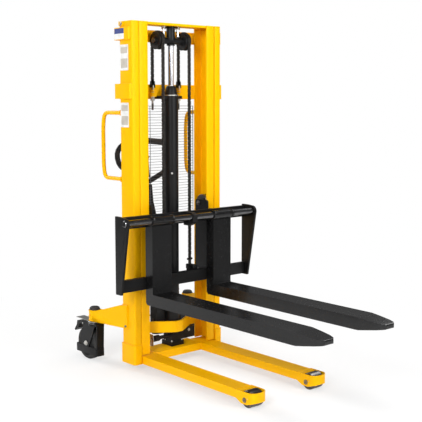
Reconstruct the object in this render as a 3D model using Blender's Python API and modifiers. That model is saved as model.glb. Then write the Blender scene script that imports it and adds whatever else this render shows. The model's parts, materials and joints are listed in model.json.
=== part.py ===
"""Manual hydraulic walkie stacker with a two-stage mast, as separate named pieces.

Metres, +Z up, forks towards -Y, mast symmetric in X, rear casters towards +Y.
Every length below is counted from the mast's front plane and from a level 23 mm under
the floor; SHIFT moves the whole machine so that it stands on z = 0 and its bounding
box is centred on the origin.
"""
from math import cos, pi, radians, sin, tan

import bmesh
import bpy
from mathutils import Matrix, Vector

FLOOR = 0.023
SHIFT = Vector((0, 0.3765, -FLOOR))
GAP = 0.0003
SIDES = (("left", -1), ("right", 1))

# Mast
MAST_TOP = 1.830
OUTER_X, OUTER_TIP = 0.297, 0.255
INNER_X, INNER_TIP = 0.252, 0.198
MAST_DEPTH = 0.110
OUTER_WALL, INNER_WALL = 0.007, 0.008
OUTER_FOOT, INNER_FOOT = 0.060, 0.105
TIE_END = 0.1977
SLEEVE_TOP = 0.162
CYL_Y = 0.062

# Chains and lift head
PULLEY_X, PULLEY_Z, PULLEY_R = 0.088, 1.743, 0.038
CHAIN_Y_FRONT, CHAIN_Y_REAR = 0.0165, 0.1075
CHAIN_W, CHAIN_T = 0.016, 0.011
ROD_R = 0.0145

# Carriage and forks
SHAFT_Y, SHAFT_Z, SHAFT_R = -0.115, 0.826, 0.0175
PLATE_Y0, PLATE_Y1 = -0.058, -0.034
CARRIAGE_X = 0.426
FORK_X, FORK_W = 0.2055, 0.125
FORK_TOP, FORK_T = 0.448, 0.060
FORK_TIP = -1.2505
ROLLER_R = 0.0450
ROLLER_X, ROLLER_Y = 0.2215, 0.055
ROLLER_Z = (0.875, 0.500)

# Base
LEG_X, LEG_HALF = 0.2055, 0.0465
LEG_Z0, LEG_Z1 = 0.059, 0.100
AXLE_Y, LOAD_R = -0.7885, 0.041
AXLE_Z = FLOOR + LOAD_R
STRAP_Z0, STRAP_Z1 = 0.044, 0.1015

# Casters
CASTER_X, CASTER_Y = 0.3265, 0.326
WHEEL_Y, WHEEL_R, WHEEL_W = 0.378, 0.090, 0.040
WHEEL_Z = FLOOR + WHEEL_R
BRAKE_Y, BRAKE_Z = 0.4035, 0.228

# Tiller
PIVOT_Y, PIVOT_Z = 0.172, 0.300
LEAN = 0.125
PLUNGER_Y = 0.208
LEVER_Z = 1.012


def clear_scene():
    for block in list(bpy.data.objects):
        bpy.data.objects.remove(block, do_unlink=True)
    for block in list(bpy.data.collections):
        bpy.data.collections.remove(block)


clear_scene()
PARTS = bpy.data.collections.new("walkie_stacker")
CUTTERS = bpy.data.collections.new("cutters")
CUTTERS.hide_render = True
for collection in (PARTS, CUTTERS):
    bpy.context.scene.collection.children.link(collection)


def material(name, colour, roughness, metallic=0.0):
    made = bpy.data.materials.new(name)
    made.use_nodes = True
    shader = made.node_tree.nodes["Principled BSDF"]
    shader.inputs["Base Color"].default_value = (*colour, 1.0)
    shader.inputs["Roughness"].default_value = roughness
    shader.inputs["Metallic"].default_value = metallic
    made.diffuse_color = (*colour, 1.0)
    return made


FINISHES = {
    "yellow": ((0.95, 0.52, 0.0), 0.42, 0.0),
    "black": ((0.018, 0.018, 0.020), 0.45, 0.0),
    "shaft": ((0.10, 0.10, 0.10), 0.20, 0.8),
    "chrome": ((0.75, 0.75, 0.76), 0.12, 1.0),
    "chain": ((0.05, 0.05, 0.05), 0.40, 0.9),
    "rubber": ((0.02, 0.02, 0.02), 0.70, 0.0),
    "wire": ((0.06, 0.06, 0.06), 0.45, 0.5),
    "steel": ((0.55, 0.55, 0.56), 0.30, 1.0),
}


def place(name, mesh, finish):
    made = bpy.data.objects.new(name, mesh)
    mesh.name = name
    if finish is None:
        CUTTERS.objects.link(made)
        made.hide_render = True
        made.display_type = "WIRE"
    else:
        PARTS.objects.link(made)
        mesh.materials.clear()
        mesh.materials.append(material(name, *FINISHES[finish]))
    return made


def outward(mesh):
    work = bmesh.new()
    work.from_mesh(mesh)
    bmesh.ops.remove_doubles(work, verts=work.verts, dist=1e-6)
    bmesh.ops.recalc_face_normals(work, faces=work.faces)
    work.to_mesh(mesh)
    work.free()
    return mesh


def baked(source, matrix):
    """The evaluated mesh of a curve or profile, moved by a matrix; the source is removed."""
    bpy.context.scene.collection.objects.link(source)
    bpy.context.view_layer.update()
    graph = bpy.context.evaluated_depsgraph_get()
    mesh = bpy.data.meshes.new_from_object(source.evaluated_get(graph))
    mesh.transform(matrix)
    bpy.data.objects.remove(source, do_unlink=True)
    return outward(mesh)


def box(name, low, high, finish=None):
    work = bmesh.new()
    bmesh.ops.create_cube(work, size=1.0)
    size = Vector(high) - Vector(low)
    middle = (Vector(high) + Vector(low)) / 2 + SHIFT
    matrix = Matrix.Translation(middle) @ Matrix.Diagonal((*size, 1))
    bmesh.ops.transform(work, matrix=matrix, verts=work.verts)
    mesh = bpy.data.meshes.new(name)
    work.to_mesh(mesh)
    work.free()
    return place(name, mesh, finish)


AXIS_MATRIX = {
    "X": Matrix(((0, 0, 1, 0), (1, 0, 0, 0), (0, 1, 0, 0), (0, 0, 0, 1))),
    "Y": Matrix(((1, 0, 0, 0), (0, 0, -1, 0), (0, 1, 0, 0), (0, 0, 0, 1))),
    "Z": Matrix.Identity(4),
}


def prism(name, outlines, axis, low, high, finish=None):
    """Closed outlines (the first outside, the others holes) carried along one axis.

    The outlines are (y, z) pairs for X, (x, z) for Y and (x, y) for Z.
    """
    curve = bpy.data.curves.new(name, "CURVE")
    curve.dimensions = "2D"
    curve.fill_mode = "BOTH"
    curve.extrude = (high - low) / 2
    for outline in outlines:
        spline = curve.splines.new("POLY")
        spline.points.add(len(outline) - 1)
        for point, (u, v) in zip(spline.points, outline):
            point.co = (u, v, 0.0, 1.0)
        spline.use_cyclic_u = True
    middle = (low + high) / 2
    offset = Vector([middle if letter == axis else 0.0 for letter in "XYZ"])
    move = Matrix.Translation(offset + SHIFT)
    mesh = baked(bpy.data.objects.new(name, curve), move @ AXIS_MATRIX[axis])
    return place(name, mesh, finish)


LATHE_MATRIX = {
    "X": Matrix.Rotation(pi / 2, 4, "Y"),
    "Y": Matrix.Rotation(-pi / 2, 4, "X"),
    "Z": Matrix.Identity(4),
}


def lathe(name, profile, axis, centre, finish=None, steps=24, smooth=True):
    """A profile of (radius, height) pairs turned about an axis through centre."""
    mesh = bpy.data.meshes.new(name)
    work = bmesh.new()
    verts = [work.verts.new((radius, 0.0, height)) for radius, height in profile]
    for first, second in zip(verts, verts[1:]):
        work.edges.new((first, second))
    if profile[0][0] > 1e-6:
        work.edges.new((verts[-1], verts[0]))
    work.to_mesh(mesh)
    work.free()
    source = bpy.data.objects.new(name, mesh)
    screw = source.modifiers.new("turn", "SCREW")
    screw.steps = steps
    screw.render_steps = steps
    screw.use_merge_vertices = True
    screw.merge_threshold = 0.00001
    place_at = Matrix.Translation(Vector(centre) + SHIFT)
    made = place(name, baked(source, place_at @ LATHE_MATRIX[axis]), finish)
    if smooth:
        made.data.shade_smooth()
    return made


def rod(name, radius, axis, low, high, centre, finish=None, steps=20):
    """A plain round bar from low to high along an axis; centre gives the other two places."""
    profile = ((0.0, high), (radius, high), (radius, low), (0.0, low))
    at = [0.0 if "XYZ"[i] == axis else centre[i] for i in range(3)]
    return lathe(name, profile, axis, at, finish, steps, smooth=False)


def tube(name, points, radius, finish=None, resolution=4):
    """A round bar bent along points."""
    curve = bpy.data.curves.new(name, "CURVE")
    curve.dimensions = "3D"
    curve.bevel_depth = radius
    curve.bevel_resolution = resolution
    curve.use_fill_caps = True
    spline = curve.splines.new("POLY")
    spline.points.add(len(points) - 1)
    for point, place_at in zip(spline.points, points):
        point.co = (*place_at, 1.0)
    matrix = Matrix.Translation(SHIFT)
    made = place(name, baked(bpy.data.objects.new(name, curve), matrix), finish)
    made.data.shade_smooth()
    return made


def combine(target, others, operation):
    """Applies one Boolean per helper, then drops the helpers."""
    for other in others:
        step = target.modifiers.new(operation.lower(), "BOOLEAN")
        step.operation = operation
        step.solver = "EXACT"
        step.object = other
    bpy.context.view_layer.update()
    graph = bpy.context.evaluated_depsgraph_get()
    mesh = bpy.data.meshes.new_from_object(target.evaluated_get(graph))
    mesh.name = target.name
    outward(mesh)
    target.modifiers.clear()
    target.data = mesh
    for other in others:
        bpy.data.objects.remove(other, do_unlink=True)
    return target


def union(target, *others):
    return combine(target, others, "UNION")


def cut(target, *others):
    return combine(target, others, "DIFFERENCE")


def common(target, *others):
    return combine(target, others, "INTERSECT")


def rounded(points, radius, steps=3):
    """An outline with its corners rounded; radius is one number or one per corner."""
    radii = radius if isinstance(radius, (list, tuple)) else [radius] * len(points)
    out = []
    for i, corner in enumerate(points):
        here = Vector(corner)
        before = Vector(points[i - 1]) - here
        after = Vector(points[(i + 1) % len(points)]) - here
        if radii[i] <= 0:
            out.append(tuple(here))
            continue
        half = before.angle(after) / 2
        reach = radii[i] / tan(half)
        start = here + before.normalized() * reach
        end = here + after.normalized() * reach
        inward = (before.normalized() + after.normalized()).normalized()
        middle = here + inward * (radii[i] / sin(half))
        first, last = start - middle, end - middle
        for k in range(steps + 1):
            mixed = (first * (steps - k) + last * k).normalized() * radii[i]
            out.append(tuple(middle + mixed))
    return out


def mirrored(outline, sign):
    return [(sign * u, v) for u, v in outline]


def smooth_path(points, radius, steps=4):
    """A 3D path with rounded corners; its two ends stay where they are."""
    out = [tuple(points[0])]
    for i in range(1, len(points) - 1):
        here = Vector(points[i])
        before = Vector(points[i - 1]) - here
        after = Vector(points[i + 1]) - here
        reach = min(radius, before.length * 0.48, after.length * 0.48)
        start = here + before.normalized() * reach
        end = here + after.normalized() * reach
        for k in range(steps + 1):
            t = k / steps
            out.append(tuple(start * (1 - t) ** 2 + here * 2 * t * (1 - t) + end * t**2))
    out.append(tuple(points[-1]))
    return out


# Outer mast: two channels open inwards, each with a foot sleeve and a top lug


def channel(name, side, web, tip, wall, bottom, top, corner):
    outline = [
        (tip, 0.0),
        (web, 0.0),
        (web, MAST_DEPTH),
        (tip, MAST_DEPTH),
        (tip, MAST_DEPTH - wall),
        (web - wall, MAST_DEPTH - wall),
        (web - wall, wall),
        (tip, wall),
    ]
    radii = [0.002, corner, corner, 0.002, 0, 0.003, 0.003, 0]
    return prism(name, [mirrored(rounded(outline, radii), side)], "Z", bottom, top, "yellow")


def build_upright(label, side):
    name = "upright_" + label
    upright = channel(name, side, OUTER_X, OUTER_TIP, OUTER_WALL, OUTER_FOOT, MAST_TOP, 0.009)
    skin = 0.006
    sleeve = [
        (OUTER_TIP + 0.0005, -skin),
        (OUTER_X + skin, -skin),
        (OUTER_X + skin, MAST_DEPTH + skin),
        (OUTER_TIP + 0.0005, MAST_DEPTH + skin),
        (OUTER_TIP + 0.0005, MAST_DEPTH - 0.002),
        (OUTER_X - 0.002, MAST_DEPTH - 0.002),
        (OUTER_X - 0.002, 0.002),
        (OUTER_TIP + 0.0005, 0.002),
    ]
    radii = [0.002, 0.012, 0.012, 0.002, 0, 0, 0, 0]
    under = OUTER_FOOT - 0.001
    foot = prism("foot", [mirrored(rounded(sleeve, radii), side)], "Z", under, SLEEVE_TOP)
    sole_x = sorted((side * (OUTER_TIP + 0.0005), side * (OUTER_X - 0.002)))
    sole = box("sole", (sole_x[0], 0.002, under), (sole_x[1], MAST_DEPTH - 0.002, under + 0.008))
    lug_x = sorted((side * (OUTER_X - 0.002), side * (OUTER_X + 0.006)))
    lug = box("lug", (lug_x[0], 0.067, 1.806), (lug_x[1], 0.106, MAST_TOP - 0.001))
    bolt_x = sorted((side * (OUTER_X - 0.012), side * (OUTER_X + 0.016)))
    bolt = rod("bolt", 0.006, "X", bolt_x[0], bolt_x[1], (0, 0.087, 1.817), steps=6)
    return union(upright, foot, sole, lug, bolt)


def build_crossbeam(name, low, high, reach, lugs):
    """A rear beam whose ends wrap round both uprights."""
    arm, rear, face = 0.310, 0.138, 0.119
    half = [
        (0.0, face),
        (0.196, face),
        (0.205, MAST_DEPTH + GAP),
        (OUTER_X + GAP, MAST_DEPTH + GAP),
        (OUTER_X + GAP, reach),
        (arm, reach),
        (arm, rear),
        (0.0, rear),
    ]
    radii = [0, 0.002, 0.002, 0, 0, 0.002, 0.006, 0]
    right = rounded(half, radii)
    outline = right + [(-u, v) for u, v in reversed(right)]
    kept = [p for i, p in enumerate(outline) if i == 0 or Vector(p) != Vector(outline[i - 1])]
    if Vector(kept[0]) == Vector(kept[-1]):
        kept.pop()
    beam = prism(name, [kept], "Z", low, high, "yellow")
    if lugs:
        for _, side in SIDES:
            x = side * PULLEY_X
            eye = box("eye", (x - 0.016, 0.094, 1.452), (x + 0.016, 0.121, 1.474))
            hole = rod("hole", 0.0062, "Z", 1.44, 1.49, (x, CHAIN_Y_REAR, 0))
            union(beam, eye)
            cut(beam, hole)
    return beam


def build_chain_anchor(label, side):
    """An eye bolt through the mid beam's lug, with a nut and a threaded end below it."""
    x = side * PULLEY_X
    profile = (
        (0.0, 1.486),
        (0.009, 1.486),
        (0.009, 1.4743),
        (0.0058, 1.4743),
        (0.0058, 1.4517),
        (0.0105, 1.4517),
        (0.0105, 1.437),
        (0.0055, 1.437),
        (0.0055, 1.382),
        (0.0, 1.382),
    )
    y = CHAIN_Y_REAR
    bolt = lathe("chain_anchor_" + label, profile, "Z", (x, y, 0), "steel", 12, smooth=False)
    eye = box("eye", (x - 0.0035, y - 0.009, 1.482), (x + 0.0035, y + 0.009, 1.512))
    return union(bolt, eye)


# Base: straddle legs, crossbeam, guard bar and caster arms


def build_leg(label, side):
    """A leg, open below, ending in a strap that is bent round the load roller."""
    x = side * LEG_X
    low, high = x - LEG_HALF, x + LEG_HALF
    leg = box("leg_" + label, (low, -0.757, LEG_Z0), (high, 0.108, LEG_Z1), "yellow")
    hollow = box("hollow", (low + 0.005, -0.80, LEG_Z0 - 0.01), (high - 0.005, 0.10, LEG_Z1 - 0.005))
    cut(leg, hollow)
    outer, inner = LEG_HALF + 0.005, LEG_HALF - 0.001
    front, rear = -0.8445, -0.728
    nose, tail = front + 0.006, rear + 0.02
    ring = [(x - outer, rear), (x - outer, front), (x + outer, front), (x + outer, rear)]
    gap = [(x - inner, tail), (x - inner, nose), (x + inner, nose), (x + inner, tail)]
    strap = prism("strap", [rounded(ring, [0, 0.040, 0.040, 0], 5)], "Z", STRAP_Z0, STRAP_Z1)
    cut(strap, prism("gap", [rounded(gap, [0, 0.034, 0.034, 0], 5)], "Z", 0.0, 0.2))
    face = [
        (rear, STRAP_Z1),
        (rear, 0.062),
        (-0.764, STRAP_Z0),
        (-0.802, STRAP_Z0),
        (front, 0.0555),
        (front - 0.01, 0.058),
        (front - 0.01, STRAP_Z1),
    ]
    common(strap, prism("face", [face], "X", x - 0.1, x + 0.1))
    end = outer + 0.001
    axle = rod("axle", 0.008, "X", x - end, x + end, (0, AXLE_Y, AXLE_Z), steps=16)
    return union(leg, strap, axle)


def build_base_crossbeam():
    edge = LEG_X - LEG_HALF - GAP
    beam = box("base_crossbeam", (-edge, 0.006, LEG_Z0), (edge, 0.133, LEG_Z1), "yellow")
    hollow = box("hollow", (-0.16, 0.012, LEG_Z0 - 0.01), (0.16, 0.127, LEG_Z1 - 0.006))
    return cut(beam, hollow)


def build_inner_tie():
    """The inner mast's lower cross member: a flat bar bent forwards round the cylinder."""
    front = [(0.022, 0.0), (0.150, 0.0880), (TIE_END, 0.0880)]
    rear = [(TIE_END, 0.0995), (0.146, 0.0995), (0.018, 0.0115)]
    corners = [0.020, 0.024, 0, 0, 0.016, 0.012]
    half = front + rear
    whole = half + [(-u, v) for u, v in reversed(half)]
    outline = rounded(whole, corners + corners[::-1], 4)
    return prism("inner_tie_bar", [outline], "Z", 0.190, 0.250, "yellow")


def build_caster_arm(label, side):
    """A tapered box from the upright to the vertical swivel housing."""
    plan = [
        (OUTER_X + 0.0095, 0.057),
        (OUTER_X + GAP, 0.057),
        (OUTER_X + GAP, MAST_DEPTH + GAP),
        (0.262, MAST_DEPTH + GAP),
        (CASTER_X - 0.031, CASTER_Y),
        (CASTER_X + 0.031, CASTER_Y),
    ]
    arm = prism("caster_arm_" + label, [mirrored(plan, side)], "Z", 0.20, 0.38, "yellow")
    face = [
        (0.05, 0.2455),
        (0.05, 0.3685),
        (0.11, 0.3635),
        (0.288, 0.3055),
        (0.36, 0.3055),
        (0.36, 0.2455),
    ]
    taper = prism("taper", [face], "X", *sorted((side * 0.2, side * 0.42)))
    common(arm, taper)
    housing = rod("housing", 0.032, "Z", 0.2456, 0.3057, (side * CASTER_X, CASTER_Y, 0), steps=24)
    union(arm, housing)
    return arm


def build_caster_cap(label, side):
    profile = ((0.0, 0.3223), (0.020, 0.3223), (0.027, 0.317), (0.029, 0.3061), (0.0, 0.3061))
    return lathe("caster_cap_" + label, profile, "Z", (side * CASTER_X, CASTER_Y, 0), "rubber", 20)


def build_caster_yoke(label, side):
    """Swivel head, two cheeks, axle, front strut and the foot guard round the wheel."""
    x = side * CASTER_X
    yoke = rod("caster_yoke_" + label, 0.036, "Z", 0.219, 0.2452, (x, CASTER_Y, 0), "black", 20)
    cheek = [
        (0.290, 0.233),
        (0.402, 0.233),
        (0.4035, 0.198),
        (0.428, 0.173),
        (0.432, 0.128),
        (0.405, 0.085),
        (0.364, 0.083),
        (0.318, 0.163),
    ]
    for sign in (-1, 1):
        low, high = sorted((x + sign * 0.0215, x + sign * 0.0262))
        union(yoke, prism("cheek", [rounded(cheek, 0.006)], "X", low, high))
    crown = box("crown", (x - 0.0262, 0.276, 0.221), (x + 0.0262, 0.3995, 0.233))
    axle = rod("axle", 0.0075, "X", x - 0.034, x + 0.034, (0, WHEEL_Y, WHEEL_Z), steps=12)
    rake = [(0.272, 0.232), (0.279, 0.232), (0.284, 0.090), (0.277, 0.090)]
    strut = prism("strut", [rake], "X", x - 0.0225, x + 0.0225)
    outer = [(x - 0.0275, 0.476), (x - 0.0275, 0.275), (x + 0.0275, 0.275), (x + 0.0275, 0.476)]
    inner = [(x - 0.0225, 0.472), (x - 0.0225, 0.279), (x + 0.0225, 0.279), (x + 0.0225, 0.472)]
    guard = prism("guard", [rounded(outer, 0.010), rounded(inner, 0.006)], "Z", 0.055, 0.0965)
    return union(yoke, crown, axle, strut, guard)


def build_caster_wheel(label, side):
    half = WHEEL_W / 2
    profile = (
        (0.0080, half + 0.0008),
        (0.022, half + 0.0008),
        (0.022, half - 0.006),
        (0.064, half - 0.006),
        (0.068, half - 0.001),
        (WHEEL_R - 0.006, half - 0.001),
        (WHEEL_R, half - 0.010),
        (WHEEL_R, -half + 0.010),
        (WHEEL_R - 0.006, -half + 0.001),
        (0.068, -half + 0.001),
        (0.064, -half + 0.006),
        (0.022, -half + 0.006),
        (0.022, -half - 0.0008),
        (0.0080, -half - 0.0008),
    )
    centre = (side * CASTER_X, WHEEL_Y, WHEEL_Z)
    return lathe("caster_wheel_" + label, profile, "X", centre, "rubber", 32)


def build_caster_brake(label, side):
    x = side * CASTER_X
    face = [
        (0.4045, 0.230),
        (0.472, 0.2225),
        (0.477, 0.198),
        (0.499, 0.169),
        (0.493, 0.161),
        (0.464, 0.181),
        (0.450, 0.208),
        (0.4045, 0.213),
    ]
    name = "caster_brake_" + label
    return prism(name, [rounded(face, 0.003)], "X", x - 0.0205, x + 0.0205, "black")


def build_load_roller(label, side):
    profile = (
        (0.0085, 0.040),
        (0.030, 0.040),
        (0.032, 0.036),
        (LOAD_R - 0.003, 0.036),
        (LOAD_R, 0.033),
        (LOAD_R, -0.033),
        (LOAD_R - 0.003, -0.036),
        (0.032, -0.036),
        (0.030, -0.040),
        (0.0085, -0.040),
    )
    return lathe("load_roller_" + label, profile, "X", (side * LEG_X, AXLE_Y, AXLE_Z), "steel", 32)


def build_side_handle(label, side):
    """A D-shaped grab bar behind the upright."""
    x = side * 0.283
    rear = MAST_DEPTH + 0.0005
    corners = [
        (x, rear, 1.369),
        (x, 0.272, 1.369),
        (x, 0.284, 1.300),
        (x, 0.284, 1.090),
        (x, 0.272, 1.026),
        (x, rear, 1.026),
    ]
    handle = tube("side_handle_" + label, smooth_path(corners, 0.045), 0.0105, "yellow")
    for z in (1.369, 1.026):
        foot = box("foot", (x - 0.013, rear, z - 0.014), (x + 0.013, rear + 0.004, z + 0.014))
        union(handle, foot)
    return handle


def build_mesh_guard():
    """A wire screen behind the mast: a border, upright wires and level wires."""
    half, low, high, y = 0.205, 0.820, 1.405, 0.1255
    wire = 0.0016
    screen = box("mesh_guard", (-half, y - wire, low), (half, y + wire, high), "wire")
    columns, rows = 6, 12
    wide = (2 * half - wire * 2 * (columns + 1)) / columns
    tall = (high - low - wire * 2 * (rows + 1)) / rows
    openings = []
    for i in range(columns):
        left = -half + 2 * wire * (i + 1) + wide * i
        for k in range(rows):
            base = low + 2 * wire * (k + 1) + tall * k
            openings.append(box("opening", (left, y - 0.01, base), (left + wide, y + 0.01, base + tall)))
    return cut(screen, *openings)


# Hydraulics


def build_cylinder():
    """The lift cylinder's tube with its tapered gland, bored for the rod."""
    profile = (
        (ROD_R + 0.0004, 1.508),
        (0.0235, 1.508),
        (0.0255, 1.503),
        (0.0345, 1.470),
        (0.0345, 1.460),
        (0.0380, 1.457),
        (0.0380, 0.362),
        (0.0, 0.362),
        (0.0, 0.400),
        (ROD_R + 0.0004, 0.400),
    )
    return lathe("cylinder_tube", profile, "Z", (0, CYL_Y, 0), "black", 28)


def build_cylinder_clamp():
    plate = box("cylinder_clamp", (-0.064, 0.040, 1.4405), (0.064, 0.1187, 1.4565), "black")
    hole = rod("hole", 0.0385, "Z", 1.43, 1.47, (0, CYL_Y, 0), steps=28)
    nose = box("nose", (-0.08, 0.020, 1.43), (0.08, 0.046, 1.47))
    return cut(plate, hole, nose)


def build_pump_block():
    """The valve block on the beam: flange, core under the cylinder, side valve and hose end."""
    flange = box("pump_block", (-0.019, 0.044, LEG_Z1 + GAP), (0.068, 0.131, 0.124), "black")
    core = box("core", (-0.012, 0.050, 0.120), (0.061, 0.124, 0.190))
    valve = box("valve", (0.055, 0.052, 0.130), (0.150, 0.100, 0.1885))
    fitting = rod("fitting", 0.018, "X", -0.129, -0.094, (0, 0.060, 0.160), steps=6)
    stem = rod("stem", 0.010, "X", -0.150, 0.0, (0, 0.060, 0.160), steps=12)
    return union(flange, core, valve, fitting, stem)


def build_pump_body():
    """The oil tank under the cylinder, with the pump barrel behind it."""
    tank = box("pump_body", (-0.098, 0.075, 0.215), (0.070, 0.130, 0.340), "black")
    neck = rod("neck", 0.0395, "Z", 0.1905, 0.3617, (0, CYL_Y, 0), steps=24)
    bridge = box("bridge", (-0.040, 0.10, 0.215), (0.040, 0.19, 0.243))
    barrel = rod("barrel", 0.024, "Z", 0.140, 0.247, (0, PLUNGER_Y, 0), steps=20)
    rib = box("rib", (-0.018, 0.15, 0.150), (0.018, 0.20, 0.242))
    face = [
        (0.105, 0.230),
        (0.200, 0.230),
        (0.200, 0.300),
        (0.190, 0.322),
        (0.154, 0.322),
        (0.140, 0.300),
    ]
    cheeks = []
    for sign in (-1, 1):
        low, high = sorted((sign * 0.0325, sign * 0.0400))
        cheeks.append(prism("cheek", [rounded(face, 0.008)], "X", low, high))
    pin = rod("pin", 0.0085, "X", -0.044, 0.044, (0, PIVOT_Y, PIVOT_Z), steps=16)
    union(tank, neck, bridge, barrel, rib, *cheeks, pin)
    bore = rod("bore", 0.0104, "Z", 0.165, 0.280, (0, PLUNGER_Y, 0), steps=16)
    return cut(tank, bore)


def build_pump_plunger():
    top, under, end = 0.2815, 0.2755, 0.200
    profile = ((0.0, top), (0.013, top), (0.013, under), (0.010, under), (0.010, end), (0.0, end))
    return lathe("pump_plunger", profile, "Z", (0, PLUNGER_Y, 0), "chrome", 16)


# Inner mast


def build_inner_channel(label, side):
    name = "inner_channel_" + label
    return channel(name, side, INNER_X, INNER_TIP, INNER_WALL, INNER_FOOT, MAST_TOP, 0.007)


def build_inner_head():
    """The crossbar at the inner mast's top."""
    edge = INNER_X - INNER_WALL - 0.003
    front, rear = INNER_WALL + GAP, MAST_DEPTH - INNER_WALL - GAP
    return box("inner_head_bar", (-edge, front, 1.8175), (edge, rear, 1.8295), "yellow")


def build_guide_stud(label, side):
    top, under, end = 1.8170, 1.812, 1.764
    profile = ((0.0, top), (0.013, top), (0.013, under), (0.0075, under), (0.0075, end), (0.0, end))
    return lathe("guide_stud_" + label, profile, "Z", (side * 0.047, CYL_Y, 0), "chrome", 16)


# Lift head


def build_lift_rod():
    top = PULLEY_Z - 0.0178
    profile = ((0.0, top), (ROD_R, top), (ROD_R, 0.640), (0.0, 0.640))
    return lathe("lift_rod", profile, "Z", (0, CYL_Y, 0), "chrome", 24)


def build_lift_head():
    """The cross tube that carries both chain pulleys, with the rod head above it."""
    profile = (
        (0.0, 0.116),
        (0.0165, 0.116),
        (0.0165, 0.1035),
        (0.0120, 0.1035),
        (0.0120, 0.0725),
        (0.0172, 0.0725),
        (0.0172, -0.0725),
        (0.0120, -0.0725),
        (0.0120, -0.1035),
        (0.0165, -0.1035),
        (0.0165, -0.116),
        (0.0, -0.116),
    )
    head = lathe("lift_head", profile, "X", (0, CYL_Y, PULLEY_Z), "black", 24)
    boss = rod("boss", 0.023, "Z", PULLEY_Z + 0.002, 1.8168, (0, CYL_Y, 0), steps=24)
    return union(head, boss)


def build_pulley(label, side):
    profile = (
        (0.0124, 0.0145),
        (PULLEY_R + 0.009, 0.0145),
        (PULLEY_R + 0.009, 0.0105),
        (PULLEY_R, 0.0085),
        (PULLEY_R, -0.0085),
        (PULLEY_R + 0.009, -0.0105),
        (PULLEY_R + 0.009, -0.0145),
        (0.0124, -0.0145),
    )
    centre = (side * PULLEY_X, CYL_Y, PULLEY_Z)
    return lathe("chain_pulley_" + label, profile, "X", centre, "black", 32)


def build_chain(name, side, y, low, high):
    x = side * PULLEY_X
    half_w, half_t = CHAIN_W / 2, CHAIN_T / 2
    return box(name, (x - half_w, y - half_t, low), (x + half_w, y + half_t, high), "chain")


# Carriage


def build_carriage_frame():
    """Two bars across, two cheeks between the inner channels, and the shaft's middle support."""
    edge = CARRIAGE_X - GAP
    frame = box("carriage_frame", (-edge, PLATE_Y0, 0.790), (edge, PLATE_Y1, 0.850), "black")
    lower = box("lower", (-edge, PLATE_Y0, 0.467), (edge, PLATE_Y1, 0.530))
    union(frame, lower)
    for _, side in SIDES:
        low, high = sorted((side * 0.183, side * 0.194))
        face = [
            (PLATE_Y0 + 0.001, 0.468),
            (0.080, 0.468),
            (0.080, 0.894),
            (-0.018, 0.894),
            (-0.018, 0.845),
            (PLATE_Y0 + 0.001, 0.845),
        ]
        corners = [0, 0.012, 0.014, 0.014, 0, 0]
        union(frame, prism("cheek", [rounded(face, corners)], "X", low, high))
        low, high = sorted((side * 0.190, side * 0.2405))
        for z in ROLLER_Z:
            union(frame, rod("stub", 0.0120, "X", low, high, (0, ROLLER_Y, z), steps=16))
        x = side * PULLEY_X
        ledge = box("ledge", (x - 0.0145, PLATE_Y1 - 0.004, 0.506), (x + 0.0145, 0.0280, 0.530))
        union(frame, ledge)
    support = [
        (PLATE_Y0 + 0.002, 0.790),
        (PLATE_Y0 + 0.002, 0.850),
        (-0.120, 0.850),
        (-0.138, 0.838),
        (-0.138, 0.800),
        (-0.100, 0.780),
        (PLATE_Y0 + 0.002, 0.780),
    ]
    middle = prism("middle", [support], "X", -0.014, 0.014)
    hole = rod("hole", SHAFT_R + GAP, "X", -0.03, 0.03, (0, SHAFT_Y, SHAFT_Z), steps=24)
    cut(middle, hole)
    return union(frame, middle)


def build_carriage_bracket(label, side):
    """A tapered end plate with a rounded boss that holds the fork shaft."""
    centre = Vector((SHAFT_Y, SHAFT_Z))
    reach = 0.0285
    turns = [radians(90 + 18 * i) for i in range(7)]
    boss = [tuple(centre + Vector((cos(turn), sin(turn))) * reach) for turn in turns]
    face = [(PLATE_Y1, 0.462), (PLATE_Y1, 0.858), (-0.075, 0.858)] + boss + [(-0.080, 0.462)]
    low, high = sorted((side * CARRIAGE_X, side * (CARRIAGE_X + 0.012)))
    plate = prism("carriage_bracket_" + label, [face], "X", low, high, "black")
    hole = rod("hole", SHAFT_R + GAP, "X", low - 0.01, high + 0.01, (0, SHAFT_Y, SHAFT_Z), steps=24)
    return cut(plate, hole)


def build_fork_shaft():
    reach, bevel = CARRIAGE_X + 0.016, 0.003
    profile = (
        (0.0, reach),
        (SHAFT_R - bevel, reach),
        (SHAFT_R, reach - bevel),
        (SHAFT_R, -reach + bevel),
        (SHAFT_R - bevel, -reach),
        (0.0, -reach),
    )
    return lathe("fork_shaft", profile, "X", (0, SHAFT_Y, SHAFT_Z), "shaft", 24)


def build_carriage_roller(label, side, z):
    centre = (side * ROLLER_X, ROLLER_Y, z)
    profile = (
        (0.0123, 0.0170),
        (ROLLER_R - 0.003, 0.0170),
        (ROLLER_R, 0.0140),
        (ROLLER_R, -0.0140),
        (ROLLER_R - 0.003, -0.0170),
        (0.0123, -0.0170),
    )
    return lathe("carriage_roller_" + label, profile, "X", centre, "steel", 28)


def build_chain_clevis(label, side):
    """The adjuster that ties a front chain to the carriage's ledge."""
    x = side * PULLEY_X
    profile = (
        (0.0, 0.572),
        (0.0085, 0.572),
        (0.0085, 0.549),
        (0.0140, 0.549),
        (0.0140, 0.5303),
        (0.0, 0.5303),
    )
    y = CHAIN_Y_FRONT
    bolt = lathe("chain_clevis_" + label, profile, "Z", (x, y, 0), "chain", 12, smooth=False)
    ear = box("ear", (x - 0.0035, y - 0.009, 0.568), (x + 0.0035, y + 0.009, 0.590))
    return union(bolt, ear)


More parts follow.
